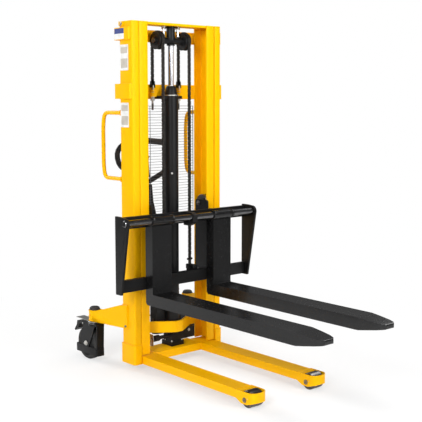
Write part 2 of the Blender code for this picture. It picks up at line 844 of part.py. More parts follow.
def build_fork(label, side):
    """A fork hung on the shaft by a sleeve: a channel-shaped shank and arm with a tapered toe."""
    x = side * FORK_X
    half = FORK_W / 2
    back, face = -0.0595, -0.1165
    under = FORK_TOP - FORK_T
    profile = [
        (back, under + 0.012),
        (back, 0.806),
        (face + 0.010, 0.811),
        (face, 0.800),
        (face, FORK_TOP),
        (-1.100, FORK_TOP),
        (FORK_TIP, 0.433),
        (FORK_TIP, 0.411),
        (-1.114, under),
        (back - 0.012, under),
    ]
    side_view = rounded(profile, [0, 0, 0, 0.004, 0.006, 0, 0.006, 0.004, 0, 0])
    fork = prism("fork_" + label, [side_view], "X", x - half, x + half, "black")
    nose = ((half + 0.010, 0.0), (half + 0.010, -1.075), (half - 0.001, -1.100), (0.0570, -1.160))
    nose += ((0.0500, -1.210), (0.0400, -1.238), (0.0260, FORK_TIP - 0.001))
    toe = [(x - u, v) for u, v in nose] + [(x + u, v) for u, v in reversed(nose)]
    common(fork, prism("toe", [toe], "Z", 0.3, 0.9))
    low, high = x - half + 0.008, x + half - 0.008
    arm_hollow = box("arm_hollow", (low, -1.090, under - 0.01), (high, back + 0.02, FORK_TOP - 0.009))
    shank_hollow = box("shank_hollow", (low, face + 0.012, under + 0.03), (high, back + 0.02, 0.790))
    cut(fork, arm_hollow, shank_hollow)
    centre = (0, SHAFT_Y, SHAFT_Z)
    union(fork, rod("sleeve", 0.0222, "X", x - 0.0715, x + 0.0715, centre, steps=24))
    hole = rod("hole", SHAFT_R + GAP, "X", x - 0.09, x + 0.09, centre, steps=24)
    return cut(fork, hole)


# Tiller


def tiller_point(x, height):
    """A point on the tiller's leaning plane at a height above the floor."""
    return (x, PIVOT_Y + (height - PIVOT_Z) * LEAN, height)


def leaning(made):
    """Moves a piece drawn upright at the origin onto the tiller's leaning plane."""
    shear = Matrix.Identity(4)
    shear[1][2] = LEAN
    base = Matrix.Translation(SHIFT + Vector((0, PIVOT_Y, PIVOT_Z)))
    made.data.transform(base @ shear @ Matrix.Translation(-SHIFT - Vector((0, 0, PIVOT_Z))))
    return made


def build_tiller():
    loop = [(0.0, 0.990), (0.120, 1.040), (0.196, 1.085), (0.203, 1.160), (0.150, 1.203), (0.0, 1.214)]
    right = [tiller_point(u, v) for u, v in loop]
    left = [tiller_point(-u, v) for u, v in reversed(loop)]
    grip = tube("tiller_grip", smooth_path(right + left[1:], 0.035, 3), 0.0145, "black", resolution=3)
    return grip


def build_tiller_stem():
    eye = rod("tiller_stem", 0.0200, "X", -0.0315, 0.0315, (0, PIVOT_Y, PIVOT_Z), "black", 20)
    blade = [
        (-0.014, 0.300),
        (-0.020, 0.820),
        (-0.009, 0.880),
        (-0.009, 0.974),
        (0.009, 0.974),
        (0.009, 0.880),
        (0.020, 0.820),
        (0.014, 0.300),
    ]
    shank = leaning(prism("shank", [blade], "Y", -0.011, 0.011))
    heel = box("heel", (-0.012, PIVOT_Y, 0.2865), (0.012, 0.213, 0.306))
    union(eye, shank, heel)
    hole = rod("hole", 0.0089, "X", -0.05, 0.05, (0, PIVOT_Y, PIVOT_Z), steps=16)
    return cut(eye, hole)


def build_release_lever():
    face = [
        (-0.006, LEVER_Z - 0.002),
        (0.006, LEVER_Z - 0.002),
        (0.006, 1.110),
        (0.016, 1.130),
        (-0.016, 1.130),
        (-0.006, 1.110),
    ]
    return leaning(prism("release_lever", [rounded(face, 0.002)], "Y", -0.003, 0.003, "black"))


def build_machine():
    build_crossbeam("crossbeam_upper", 1.736, 1.798, 0.016, lugs=False)
    build_crossbeam("crossbeam_mid", 1.440, 1.516, 0.008, lugs=True)
    build_base_crossbeam()
    build_mesh_guard()
    build_cylinder()
    build_cylinder_clamp()
    build_pump_block()
    build_pump_body()
    build_pump_plunger()
    build_inner_head()
    build_inner_tie()
    build_lift_rod()
    build_lift_head()
    build_carriage_frame()
    build_fork_shaft()
    build_tiller()
    build_tiller_stem()
    build_release_lever()
    for label, side in SIDES:
        build_upright(label, side)
        build_chain_anchor(label, side)
        build_leg(label, side)
        build_caster_arm(label, side)
        build_caster_cap(label, side)
        build_caster_yoke(label, side)
        build_caster_wheel(label, side)
        build_caster_brake(label, side)
        build_load_roller(label, side)
        build_side_handle(label, side)
        build_inner_channel(label, side)
        build_guide_stud(label, side)
        build_pulley(label, side)
        build_chain("chain_front_" + label, side, CHAIN_Y_FRONT, 0.592, PULLEY_Z)
        build_chain("chain_rear_" + label, side, CHAIN_Y_REAR, 1.514, PULLEY_Z)
        build_carriage_bracket(label, side)
        build_carriage_roller(label + "_upper", side, ROLLER_Z[0])
        build_carriage_roller(label + "_lower", side, ROLLER_Z[1])
        build_chain_clevis(label, side)
        build_fork(label, side)


def hang(name, point):
    """Puts a moving piece's origin on its own axis, leaving the piece where it is."""
    made = PARTS.objects[name]
    target = Vector(point) + SHIFT
    made.data.transform(Matrix.Translation(-target))
    made.location = target


def set_origins():
    hang("tiller_stem", (0, PIVOT_Y, PIVOT_Z))
    hang("tiller_grip", (0, PIVOT_Y, PIVOT_Z))
    hang("release_lever", tiller_point(0, LEVER_Z))
    hang("pump_plunger", (0, PLUNGER_Y, 0.2815))
    hang("lift_rod", (0, CYL_Y, 0.640))
    hang("lift_head", (0, CYL_Y, PULLEY_Z))
    hang("carriage_frame", (0, SHAFT_Y, SHAFT_Z))
    hang("fork_shaft", (0, SHAFT_Y, SHAFT_Z))
    for label, side in SIDES:
        hang("fork_" + label, (side * FORK_X, SHAFT_Y, SHAFT_Z))
        hang("chain_pulley_" + label, (side * PULLEY_X, CYL_Y, PULLEY_Z))
        hang("load_roller_" + label, (side * LEG_X, AXLE_Y, AXLE_Z))
        hang("caster_yoke_" + label, (side * CASTER_X, CASTER_Y, 0.219))
        hang("caster_wheel_" + label, (side * CASTER_X, WHEEL_Y, WHEEL_Z))
        hang("caster_brake_" + label, (side * CASTER_X, BRAKE_Y, BRAKE_Z))
        hang("carriage_roller_" + label + "_upper", (side * ROLLER_X, ROLLER_Y, ROLLER_Z[0]))
        hang("carriage_roller_" + label + "_lower", (side * ROLLER_X, ROLLER_Y, ROLLER_Z[1]))


build_machine()
set_origins()
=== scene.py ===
import json
from math import cos, pi, radians, sin

import bmesh
import bpy
from mathutils import Matrix, Vector


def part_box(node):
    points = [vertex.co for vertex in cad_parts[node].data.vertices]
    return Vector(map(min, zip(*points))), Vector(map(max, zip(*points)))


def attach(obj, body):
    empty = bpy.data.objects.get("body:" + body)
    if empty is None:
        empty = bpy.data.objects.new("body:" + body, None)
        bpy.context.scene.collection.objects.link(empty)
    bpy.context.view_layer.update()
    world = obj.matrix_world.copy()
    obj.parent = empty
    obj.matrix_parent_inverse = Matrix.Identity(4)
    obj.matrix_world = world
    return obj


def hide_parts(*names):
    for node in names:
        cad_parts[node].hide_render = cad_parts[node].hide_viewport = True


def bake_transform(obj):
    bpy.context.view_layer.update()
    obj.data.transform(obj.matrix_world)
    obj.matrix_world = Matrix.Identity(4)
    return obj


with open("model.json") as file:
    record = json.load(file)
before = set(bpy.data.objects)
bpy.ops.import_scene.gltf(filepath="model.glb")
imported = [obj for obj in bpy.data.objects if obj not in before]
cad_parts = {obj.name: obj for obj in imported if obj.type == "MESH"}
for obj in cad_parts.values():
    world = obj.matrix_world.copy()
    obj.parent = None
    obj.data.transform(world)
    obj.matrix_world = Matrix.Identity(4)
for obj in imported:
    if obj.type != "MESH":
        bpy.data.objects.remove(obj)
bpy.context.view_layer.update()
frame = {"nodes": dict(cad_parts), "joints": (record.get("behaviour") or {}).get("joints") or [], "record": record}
NODES = frame["nodes"]
SIDES = (("left", -1), ("right", 1))

# The mast's front plane, as the CAD model has it
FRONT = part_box("inner_channel_left")[0].y


# Camera, floor and light

CAMERA_PLACE = (-2.994, -3.315, 1.393)
CAMERA_AZIMUTH, CAMERA_ELEVATION = radians(-41.11), radians(6.825)
SENSOR_MM, LENS_MM = 36.0, 76.56
HORIZON_LIGHT, ZENITH_LIGHT = 0.34, 0.12
AIM = (0.0, 0.25, 0.85)
LIGHTS = (
    # name, place, aim, size, watts
    ("key", (-4.6, -2.2, 2.9), AIM, 2.4, 222.0),
    ("front", (1.0, -5.3, 2.6), AIM, 2.4, 190.0),
    ("top", (0.0, -0.4, 4.8), AIM, 2.6, 84.0),
    ("rear", (-1.6, 4.9, 3.4), AIM, 3.0, 130.0),
    ("right", (5.0, 0.6, 3.6), AIM, 3.0, 90.0),
)


def add_object(name, data, place=None, turn=None):
    """A new object in the scene, with its place and its turn as a quaternion if they are given."""
    made = bpy.data.objects.new(name, data)
    bpy.context.scene.collection.objects.link(made)
    if place is not None:
        made.rotation_mode = "QUATERNION"
        made.rotation_quaternion = turn
        made.location = place
    return made


def make_camera():
    turn, rise = CAMERA_AZIMUTH, CAMERA_ELEVATION
    back = Vector((sin(turn) * cos(rise), -cos(turn) * cos(rise), sin(rise)))
    right = Vector((cos(turn), sin(turn), 0.0))
    up = back.cross(right)
    data = bpy.data.cameras.new("camera")
    data.sensor_width = SENSOR_MM
    data.lens = LENS_MM
    turned = Matrix((right, up, back)).transposed().to_quaternion()
    bpy.context.scene.camera = add_object("camera", data, CAMERA_PLACE, turned)


def area_light(name, place, target, size, power):
    data = bpy.data.lights.new(name, "AREA")
    data.shape = "DISK"
    data.size = size
    data.energy = power
    add_object(name, data, place, (Vector(target) - Vector(place)).to_track_quat("-Z", "Y"))


def join(tree, *pairs):
    for source, target in pairs:
        tree.links.new(source, target)


def fill(node, **values):
    """Sets a node's sockets by name, with an underscore for each space."""
    for name, value in values.items():
        node.inputs[name.replace("_", " ")].default_value = value
    return node


def put(tree, kind, **values):
    return fill(tree.nodes.new("ShaderNode" + kind), **values)


def make_world():
    """White for the camera; the light on the machine is softer, bright low down and dim overhead."""
    world = bpy.data.worlds.new("studio")
    world.use_nodes = True
    tree = world.node_tree
    backdrop = fill(tree.nodes["Background"], Color=(1.0, 1.0, 1.0, 1.0), Strength=1.0)
    place = put(tree, "TexCoord")
    split = put(tree, "SeparateXYZ")
    span = {"From_Min": -0.1, "From_Max": 0.75, "To_Min": HORIZON_LIGHT, "To_Max": ZENITH_LIGHT}
    rise = put(tree, "MapRange", **span)
    ambient = put(tree, "Background")
    path = put(tree, "LightPath")
    mixer = put(tree, "MixShader")
    join(
        tree,
        (place.outputs["Generated"], split.inputs[0]),
        (split.outputs["Z"], rise.inputs["Value"]),
        (rise.outputs["Result"], ambient.inputs["Strength"]),
        (path.outputs["Is Camera Ray"], mixer.inputs[0]),
        (ambient.outputs[0], mixer.inputs[1]),
        (backdrop.outputs[0], mixer.inputs[2]),
        (mixer.outputs[0], tree.nodes["World Output"].inputs["Surface"]),
    )
    bpy.context.scene.world = world


def make_floor():
    """White paper that fades into the white surround, so that no horizon shows."""
    shape = bmesh.new()
    bmesh.ops.create_circle(shape, cap_ends=True, radius=60.0, segments=64)
    mesh = bpy.data.meshes.new("floor")
    shape.to_mesh(mesh)
    shape.free()
    floor = add_object("floor", mesh)
    paper = bpy.data.materials.new("floor_paper")
    paper.use_nodes = True
    tree = paper.node_tree
    shader = tree.nodes["Principled BSDF"]
    fill(shader, Base_Color=(0.9, 0.9, 0.9, 1.0), Roughness=0.95, Specular_IOR_Level=0.0)
    place = put(tree, "TexCoord")
    reach = put(tree, "VectorMath")
    reach.operation = "LENGTH"
    fade = put(tree, "MapRange", From_Min=0.3, From_Max=2.4, To_Min=0.55)
    fade.interpolation_type = "SMOOTHSTEP"
    path = put(tree, "LightPath")
    seen = put(tree, "Math")
    seen.operation = "MULTIPLY"
    glow = put(tree, "Emission")
    mixer = put(tree, "MixShader")
    join(
        tree,
        (place.outputs["Object"], reach.inputs[0]),
        (reach.outputs["Value"], fade.inputs["Value"]),
        (fade.outputs["Result"], seen.inputs[0]),
        (path.outputs["Is Camera Ray"], seen.inputs[1]),
        (seen.outputs[0], mixer.inputs[0]),
        (shader.outputs[0], mixer.inputs[1]),
        (glow.outputs[0], mixer.inputs[2]),
        (mixer.outputs[0], tree.nodes["Material Output"].inputs["Surface"]),
    )
    mesh.materials.append(paper)


def make_studio():
    make_world()
    make_floor()
    for light in LIGHTS:
        area_light(*light)
    bpy.context.scene.view_settings.view_transform = "Standard"


make_camera()
make_studio()


# Materials: every pattern is laid out in the piece's own coordinates, so it rides with the piece


class Finish:
    """A Principled material with its pattern nodes."""

    def __init__(self, name, roughness, metallic=0.0, specular=0.5):
        self.material = bpy.data.materials.new(name)
        self.material.use_nodes = True
        self.tree = self.material.node_tree
        self.shader = self.tree.nodes["Principled BSDF"]
        fill(self.shader, Base_Color=(0.5, 0.5, 0.5, 1.0), Roughness=roughness)
        fill(self.shader, Metallic=metallic, Specular_IOR_Level=specular)
        self.place = put(self.tree, "TexCoord").outputs["Object"]

    def feed(self, sockets, values):
        """Links or sets sockets, by name or number."""
        for key, value in values.items():
            if isinstance(value, bpy.types.NodeSocket):
                self.tree.links.new(value, sockets[key])
            else:
                sockets[key].default_value = (*value, 1.0) if sockets[key].type == "RGBA" else value

    def node(self, kind, fed, out, **settings):
        """The wanted output of a new node."""
        made = put(self.tree, kind)
        for key, value in settings.items():
            setattr(made, key, value)
        self.feed(made.inputs, fed)
        return made.outputs[out]

    def noise(self, scale, detail=4.0, rough=0.55, stretch=None):
        place = self.place
        if stretch:
            place = self.node("Mapping", {"Vector": place, "Scale": stretch}, "Vector")
        fed = {"Vector": place, "Scale": scale, "Detail": detail, "Roughness": rough}
        return self.node("TexNoise", fed, "Fac")

    def cells(self, scale):
        return self.node("TexVoronoi", {"Vector": self.place, "Scale": scale}, "Distance")

    def band(self, value, start, end, low=0.0, high=1.0):
        """Where value runs from start to end, the result runs from low to high."""
        fed = dict(enumerate((value, start, end, low, high)))
        return self.node("MapRange", fed, "Result")

    def height(self):
        return self.node("SeparateXYZ", {0: self.place}, "Z")

    def times(self, first, second):
        return self.node("Math", {0: first, 1: second}, 0, operation="MULTIPLY")

    def plus(self, first, second):
        return self.node("Math", {0: first, 1: second}, 0, operation="ADD")

    def mix(self, share, first, second):
        return self.node("Mix", {0: share, 6: first, 7: second}, 2, data_type="RGBA")

    def bump(self, value, strength, distance, onto=None):
        fed = {"Height": value, "Strength": strength, "Distance": distance}
        if onto is not None:
            fed["Normal"] = onto
        return self.node("Bump", fed, "Normal")

    def done(self, colour, roughness, normal):
        fed = {"Base Color": colour, "Roughness": roughness, "Normal": normal}
        self.feed(self.shader.inputs, fed)
        return self.material


def yellow_enamel():
    made = Finish("yellow_enamel", 0.36, specular=0.1)
    drift = made.noise(2.2, 3.0)
    tone = made.mix(drift, (0.9, 0.44, 0.0), (0.95, 0.5, 0.0))
    fine = made.noise(60.0, 6.0, 0.7)
    low = made.band(made.height(), 0.02, 0.3, 1.0, 0.0)
    grime = made.times(low, made.band(fine, 0.54, 0.78, 0.0, 0.22))
    tone = made.mix(grime, tone, (0.42, 0.27, 0.08))
    specks = made.cells(60.0)
    spread = made.band(made.noise(7.0, 4.0), 0.62, 0.78)
    chips = made.times(made.band(specks, 0.1, 0.07), spread)
    tone = made.mix(made.times(chips, 0.8), tone, (0.1, 0.075, 0.05))
    gloss = made.plus(made.band(fine, 0.3, 0.7, 0.3, 0.42), made.times(grime, 0.3))
    peel = made.bump(made.noise(420.0, 2.0), 0.1, 0.0006)
    waves = made.bump(made.noise(22.0, 2.0), 0.06, 0.002, peel)
    return made.done(tone, gloss, made.bump(chips, -0.3, 0.0004, waves))


def black_enamel(name="black_enamel", base=0.0042, gloss=0.38, scuffs=0.16, shine=0.2, peel=0.07):
    made = Finish(name, gloss, specular=shine)
    fine = made.noise(75.0, 6.0, 0.7)
    drift = made.noise(3.0, 3.0)
    dark = (base, base, base * 1.06)
    light = (base * 2.1, base * 2.1, base * 2.2)
    tone = made.mix(made.band(drift, 0.3, 0.7), dark, light)
    rubs = made.noise(14.0, 5.0, 0.65, (6.0, 0.7, 6.0))
    marks = made.times(made.band(rubs, 0.62, 0.74), scuffs)
    tone = made.mix(marks, tone, (0.075, 0.074, 0.072))
    rough = made.plus(made.band(fine, 0.3, 0.7, gloss - 0.03, gloss + 0.05), made.times(marks, 0.08))
    skin = made.bump(made.noise(300.0, 2.0), peel, 0.0004)
    return made.done(tone, rough, made.bump(made.noise(12.0, 2.0), 0.04, 0.002, skin))


def turned_steel(name, base, gloss, rings=900.0, axis=(1.0, 0.02, 0.02), stain=0.35):
    made = Finish(name, gloss, 1.0)
    lines = made.noise(rings, 2.0, 0.5, axis)
    patches = made.noise(9.0, 5.0, 0.65)
    dark = tuple(channel * (1.0 - stain) for channel in base)
    tone = made.mix(made.band(patches, 0.35, 0.65), dark, base)
    rough = made.band(patches, 0.3, 0.7, gloss + 0.1, gloss - 0.03)
    return made.done(tone, rough, made.bump(lines, 0.12, 0.0003))


def oiled_chain():
    made = Finish("oiled_chain", 0.38, 0.75)
    spots = made.noise(240.0, 4.0, 0.7)
    tone = made.mix(made.band(spots, 0.4, 0.66), (0.018, 0.016, 0.015), (0.085, 0.078, 0.07))
    rough = made.band(spots, 0.3, 0.7, 0.3, 0.52)
    return made.done(tone, rough, made.bump(spots, 0.2, 0.0004))


def black_rubber(name="black_rubber", dust=0.35):
    made = Finish(name, 0.68)
    grain = made.noise(520.0, 3.0, 0.6)
    patches = made.noise(26.0, 5.0, 0.6)
    share = made.times(made.band(patches, 0.45, 0.75), dust)
    tone = made.mix(share, (0.014, 0.014, 0.014), (0.1, 0.095, 0.088))
    rough = made.band(patches, 0.3, 0.7, 0.6, 0.82)
    return made.done(tone, rough, made.bump(grain, 0.3, 0.0005))


def zinc_plate(name="zinc_plate", base=(0.62, 0.61, 0.58), gloss=0.3):
    made = Finish(name, gloss, 1.0)
    flakes = made.cells(140.0)
    patches = made.noise(30.0, 4.0)
    tone = made.mix(made.band(patches, 0.35, 0.7), tuple(0.72 * c for c in base), base)
    rough = made.band(flakes, 0.0, 0.8, gloss - 0.05, gloss + 0.15)
    return made.done(tone, rough, made.bump(flakes, 0.08, 0.0004))


def printed_sheet(name, colour):
    made = Finish(name, 0.42, specular=0.35)
    fibre = made.noise(160.0, 5.0, 0.7)
    dull = tuple(0.8 * channel + 0.02 for channel in colour)
    tone = made.mix(made.band(made.noise(24.0, 4.0), 0.42, 0.68), colour, dull)
    return made.done(tone, made.band(fibre, 0.3, 0.7, 0.36, 0.52), made.bump(fibre, 0.06, 0.0003))


FINISH = {
    "yellow_paint": yellow_enamel(),
    "black_paint": black_enamel(),
    "fork_paint": black_enamel("fork_enamel", 0.003, 0.24, 0.08, 0.38, 0.01),
    "shaft_steel": turned_steel("greased_shaft", (0.17, 0.17, 0.175), 0.17),
    "chrome_rod": turned_steel("hard_chrome", (0.44, 0.44, 0.455), 0.1, 700.0, (0.02, 0.02, 1.0), 0.12),
    "chain_steel": oiled_chain(),
    "rubber": black_rubber(),
    "bare_steel": zinc_plate(),
    "roller_steel": turned_steel("roller_steel", (0.2, 0.19, 0.18), 0.26, 500.0, (1.0, 0.02, 0.02), 0.5),
    "wire_steel": zinc_plate("coated_wire", (0.2, 0.2, 0.205), 0.38),
    "tread": black_rubber("wheel_tread", 0.5),
    "grip": black_rubber("hand_grip", 0.2),
    "dark_zinc": zinc_plate("dark_zinc", (0.2, 0.195, 0.19), 0.4),
    "white_cap": zinc_plate("white_cap", (0.85, 0.85, 0.84), 0.45),
    "sticker_blue": printed_sheet("sticker_blue", (0.012, 0.035, 0.22)),
    "sticker_white": printed_sheet("sticker_white", (0.8, 0.8, 0.78)),
    "sticker_panel": printed_sheet("sticker_panel", (0.52, 0.48, 0.42)),
}


# The CAD nodes: welded back to closed meshes, edges eased, round faces smooth

EASED = {
    "fork_": 0.0034,
    "upright_": 0.0008,
    "inner_channel_": 0.0008,
    "leg_": 0.002,
    "crossbeam_": 0.0015,
    "base_crossbeam": 0.0015,
    "carriage_": 0.0012,
    "caster_": 0.0008,
    "pump_": 0.0012,
}

EASE_ANGLE, SHARP_ANGLE = radians(32.0), radians(38.0)
RELOOKED = {
    ("fork_left", "fork_right"): "fork_paint",
    ("load_roller", "carriage_roller"): "roller_steel",
}


def ease(node, name):
    mesh = node.data
    if "custom_normal" in mesh.attributes:
        mesh.attributes.remove(mesh.attributes["custom_normal"])
    mesh.shade_smooth()
    weld = node.modifiers.new("weld", "WELD")
    weld.merge_threshold = 0.00002
    bevel = node.modifiers.new("ease", "BEVEL")
    bevel.width = next((width for start, width in EASED.items() if name.startswith(start)), 0.0006)
    bevel.segments = 2
    bevel.limit_method = "ANGLE"
    bevel.angle_limit = EASE_ANGLE
    bevel.harden_normals = True
    bevel.use_clamp_overlap = True


def finish_nodes():
    slots = {row["node"]: row["material_slot"] for row in frame["record"]["subparts"]}
    for name, node in NODES.items():
        look = next((look for starts, look in RELOOKED.items() if name.startswith(starts)), slots[name])
        node.data.materials.clear()
        node.data.materials.append(FINISH[look])
        ease(node, name)


finish_nodes()


# Shapes: each piece gathers its solids in one mesh

UP = Vector((0, 0, 1))
X_AXIS, Y_AXIS = Vector((1, 0, 0)), Vector((0, 1, 0))
WASHER_T = 0.0012


def low(node):
    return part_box(node)[0]


def high(node):
    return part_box(node)[1]


def middle(node):
    first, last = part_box(node)
    return (first + last) / 2


def end_x(node, side):
    """The x of a node's end on a side."""
    return high(node).x if side > 0 else low(node).x


def circle(count, start=0.0):
    """Angles spaced evenly round a circle."""
    return [start + 2 * pi * i / count for i in range(count)]


def head(radius, top, inset, drop, foot=0.0):
    """The profile of a round head or cap whose upper edge is cut."""
    return [(0, foot), (radius, foot), (radius, top - drop), (radius - inset, top), (0, top)]


def dome(base, crest, height, crown=None):
    """The profile of a rivet or stud that narrows from its base to its crest."""
    return [(0, 0), (base, 0), (crest, height), (0, height if crown is None else crown)]


def nut(inner, outer, height, inset, drop=0.001):
    """The profile of a ring whose two outer edges are cut."""
    upper = [(outer, height - drop), (outer - inset, height), (inner, height)]
    return [(inner, 0), (outer - inset, 0), (outer, drop)] + upper


def collar(inner, outer, height, ease=0.0):
    """The profile of a ring that swells from its ends to its outer face."""
    return [(inner, 0), (outer, ease), (outer, height - ease), (inner, height)]


def plane(place, u, v):
    """Local axes at a place: u, v and the normal u x v."""
    u, v = Vector(u), Vector(v)
    return Matrix.Translation(place) @ Matrix((u, v, u.cross(v))).transposed().to_4x4()


class Shape:
    """Gathers turned, swept and flat solids in one mesh."""

    def __init__(self):
        self.mesh = bmesh.new()

    def loops(self, rings, closed):
        """Faces between rings of vertices; a ring of one vertex is a tip."""
        following = rings[1:] + rings[:1] if closed else rings[1:]
        for first, second in zip(rings, following):
            count = max(len(first), len(second))
            if count == 1:
                continue
            for i in range(count):
                j = (i + 1) % count
                corners = (first[i % len(first)], first[j % len(first)])
                corners += (second[j % len(second)], second[i % len(second)])
                self.mesh.faces.new(list(dict.fromkeys(corners)))

    def turned(self, profile, place, axis=UP, steps=24):
        """A closed profile of (radius, height) turned round an axis through a place."""
        turn = Matrix.Translation(place) @ UP.rotation_difference(Vector(axis)).to_matrix().to_4x4()
        rings = []
        for radius, height in profile:
            count = steps if radius > 1e-6 else 1
            ring = [Vector((radius * cos(a), radius * sin(a), height)) for a in circle(count, pi / count)]
            rings.append([self.mesh.verts.new(turn @ point) for point in ring])
        self.loops(rings, closed=True)

    def rod(self, radius, start, end, steps=16, ease=0.0):
        """A round bar between two places, with its ends chamfered."""
        along = Vector(end) - Vector(start)
        length = along.length
        profile = nut(0, radius, length, ease, ease) if ease else dome(radius, radius, length)
        self.turned(profile, start, along, steps)

    def slab(self, points, frame_of, depth):
        """A flat outline in a plane, given a thickness along the plane's normal."""
        rings = []
        for w in (0.0, depth):
            rings.append([self.mesh.verts.new(frame_of @ Vector((u, v, w))) for u, v in points])
        self.loops(rings, closed=False)
        for ring in rings:
            self.mesh.faces.new(ring)

    def block(self, first, last, ease=0.001):
        """A box with eased edges."""
        first, last = Vector(first), Vector(last)
        made = bmesh.ops.create_cube(self.mesh, size=1.0)["verts"]
        size = Matrix.Diagonal(last - first).to_4x4()
        bmesh.ops.transform(self.mesh, matrix=Matrix.Translation((first + last) / 2) @ size, verts=made)
        edges = list({edge for vert in made for edge in vert.link_edges})
        bmesh.ops.bevel(self.mesh, geom=edges, offset=ease, segments=2, profile=0.5, affect="EDGES")

    def pipe(self, points, radius, steps=8, closed=False):
        """A round section swept along points; radius is one number or one for each point."""
        points = [Vector(point) for point in points]
        count = len(points)
        radii = radius if isinstance(radius, list) else [radius] * count
        rings = []
        side = None
        for i, point in enumerate(points):
            before = points[i - 1] if i or closed else point
            after = points[(i + 1) % count] if i < count - 1 or closed else point
            along = (after - before).normalized()
            side = along.orthogonal() if side is None else side - along * side.dot(along)
            side.normalize()
            across = along.cross(side)
            ring = [point + radii[i] * (cos(a) * side + sin(a) * across) for a in circle(steps)]
            rings.append([self.mesh.verts.new(corner) for corner in ring])
        self.loops(rings, closed)
        if not closed:
            self.mesh.faces.new(rings[0])
            self.mesh.faces.new(rings[-1])

    def bolt(self, place, axis, size, rise, washer=True):
        """A hexagon head on a washer, standing on a surface with its axis outwards."""
        axis = Vector(axis)
        if washer:
            self.turned(dome(size * 1.35, size * 1.35, WASHER_T), place, axis, 20)
            place = Vector(place) + axis * WASHER_T
        self.turned(head(size, rise, size * 0.14, rise * 0.18), place, axis, 6)

    def weld(self, start, end, size=0.003, seed=0.0):
        """A weld bead: a swept bar whose section swells and shrinks with the puddles."""
        start, end = Vector(start), Vector(end)
        steps = max(4, int((end - start).length / 0.0035))
        points = [start.lerp(end, i / steps) for i in range(steps + 1)]
        radii = [size * (0.86 + 0.14 * sin(2.1 * i + seed)) for i in range(steps + 1)]
        self.pipe(points, radii, 6)


def piece(shape, name, look, body=None, replaced=()):
    """Makes the gathered mesh a piece that rides a body."""
    bmesh.ops.recalc_face_normals(shape.mesh, faces=shape.mesh.faces)
    mesh = bpy.data.meshes.new(name)
    shape.mesh.to_mesh(mesh)
    shape.mesh.free()
    mesh.shade_smooth()
    mesh.set_sharp_from_angle(angle=SHARP_ANGLE)
    mesh.materials.append(FINISH[look])
    made = add_object(name, mesh)
    if body:
        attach(made, body)
    if replaced:
        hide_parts(*replaced)
    return made


# Leaf chains: pins at every pitch, joined by plates that lie in two alternating rows

PITCH, PLATE_R, PLATE_T = 0.01267, 0.0055, 0.0018
PIN_R, CHAIN_W = 0.0021, 0.0158
ROWS = ((-7, -3, 1, 5), (-5, -1, 3, 7))
SLACK = 0.03
SPLIT_BELOW = 0.07


def plate_outline(length):
    """A figure of eight with a pin at each end; the plate lies along u."""
    ends = []
    for middle_u, turn in ((0.0, pi), (length, 0.0)):
        angles = [turn + radians(a) for a in (-105, -55, 0, 55, 105)]
        ends.append([(middle_u + PLATE_R * cos(a), PLATE_R * sin(a)) for a in angles])
    waist = 0.66 * PLATE_R
    return ends[0] + [(length / 2, -waist)] + ends[1] + [(length / 2, waist)]


def leaf_chain(shape, pins, first_row=0):
    """Plates and pins through a row of pin centres that lie in one plane across X."""
    for i, (start, end) in enumerate(zip(pins, pins[1:])):
        along = end - start
        u = along.normalized()
        outline = plate_outline(along.length)
        for offset in ROWS[(i + first_row) % 2]:
            corner = start + X_AXIS * (offset * 0.001 - PLATE_T / 2)
            v = X_AXIS.cross(u)
            shape.slab(outline, plane(corner, u, v), PLATE_T)
    for pin in pins:
        shape.rod(PIN_R, pin - X_AXIS * CHAIN_W / 2, pin + X_AXIS * CHAIN_W / 2, 8)


def straight(place, length, direction):
    """Pin centres about one pitch apart, from a place to the end of a length."""
    count = max(1, round(length / PITCH))
    return [place + direction * (length * i / count) for i in range(count + 1)]


def travel(name):
    """How far a slide goes."""
    return next(joint["range_m"][1] for joint in frame["joints"] if joint["name"] == name)


def front_chain(label):
    """From the pulley's front down to the carriage: pays out below, and runs up over the pulley."""
    strand = "chain_front_" + label
    x, y = middle(strand).x, middle(strand).y
    top = middle("chain_pulley_" + label).z
    foot = low(strand).z
    pins = straight(Vector((x, y, top)), top - foot, -UP)
    split = int((travel("mast_lift") + SPLIT_BELOW) / PITCH)
    upper, lower = Shape(), Shape()
    leaf_chain(upper, pins[: split + 1])
    leaf_chain(lower, pins[split:], split % 2)
    above = piece(upper, f"links_front_{label}_upper", "chain_steel", None, (strand,))
    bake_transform(above)
    below = piece(lower, f"links_front_{label}_lower", "chain_steel")
    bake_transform(below)


def pulley_chain(label):
    """The links that lie round the pulley."""
    centre = middle("chain_pulley_" + label)
    front, rear = middle("chain_front_" + label).y, middle("chain_rear_" + label).y
    radius = (rear - front) / 2
    centre.y = (rear + front) / 2
    count = 11
    turns = [pi * i / count for i in range(count + 1)]
    pins = [centre + Vector((0, -radius * cos(a), radius * sin(a))) for a in turns]
    wrap = Shape()
    leaf_chain(wrap, pins, 1)
    piece(wrap, "links_pulley_" + label, "chain_steel", "lift_carrier")


def rear_chain(label):
    """From the fixed beam up to the pulley. The links that the mast pulls out lie folded at the lower end."""
    strand = "chain_rear_" + label
    x, y = middle(strand).x, middle(strand).y
    foot, top = low(strand).z, middle("chain_pulley_" + label).z
    lift = travel("mast_lift")
    start = Vector((x, y, foot))
    store = Shape()
    spread = straight(start, SLACK + lift, UP)
    leaf_chain(store, spread)
    for vert in store.mesh.verts:
        vert.co.z = foot + SLACK * folded((vert.co.z - foot), lift)
    bundle = piece(store, f"links_rear_{label}_lower", "chain_steel", None, (strand,))
    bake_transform(bundle)
    pins = straight(start + UP * SLACK, top - foot - SLACK, UP)
    climb = Shape()
    leaf_chain(climb, pins)
    above = piece(climb, f"links_rear_{label}_upper", "chain_steel")
    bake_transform(above)


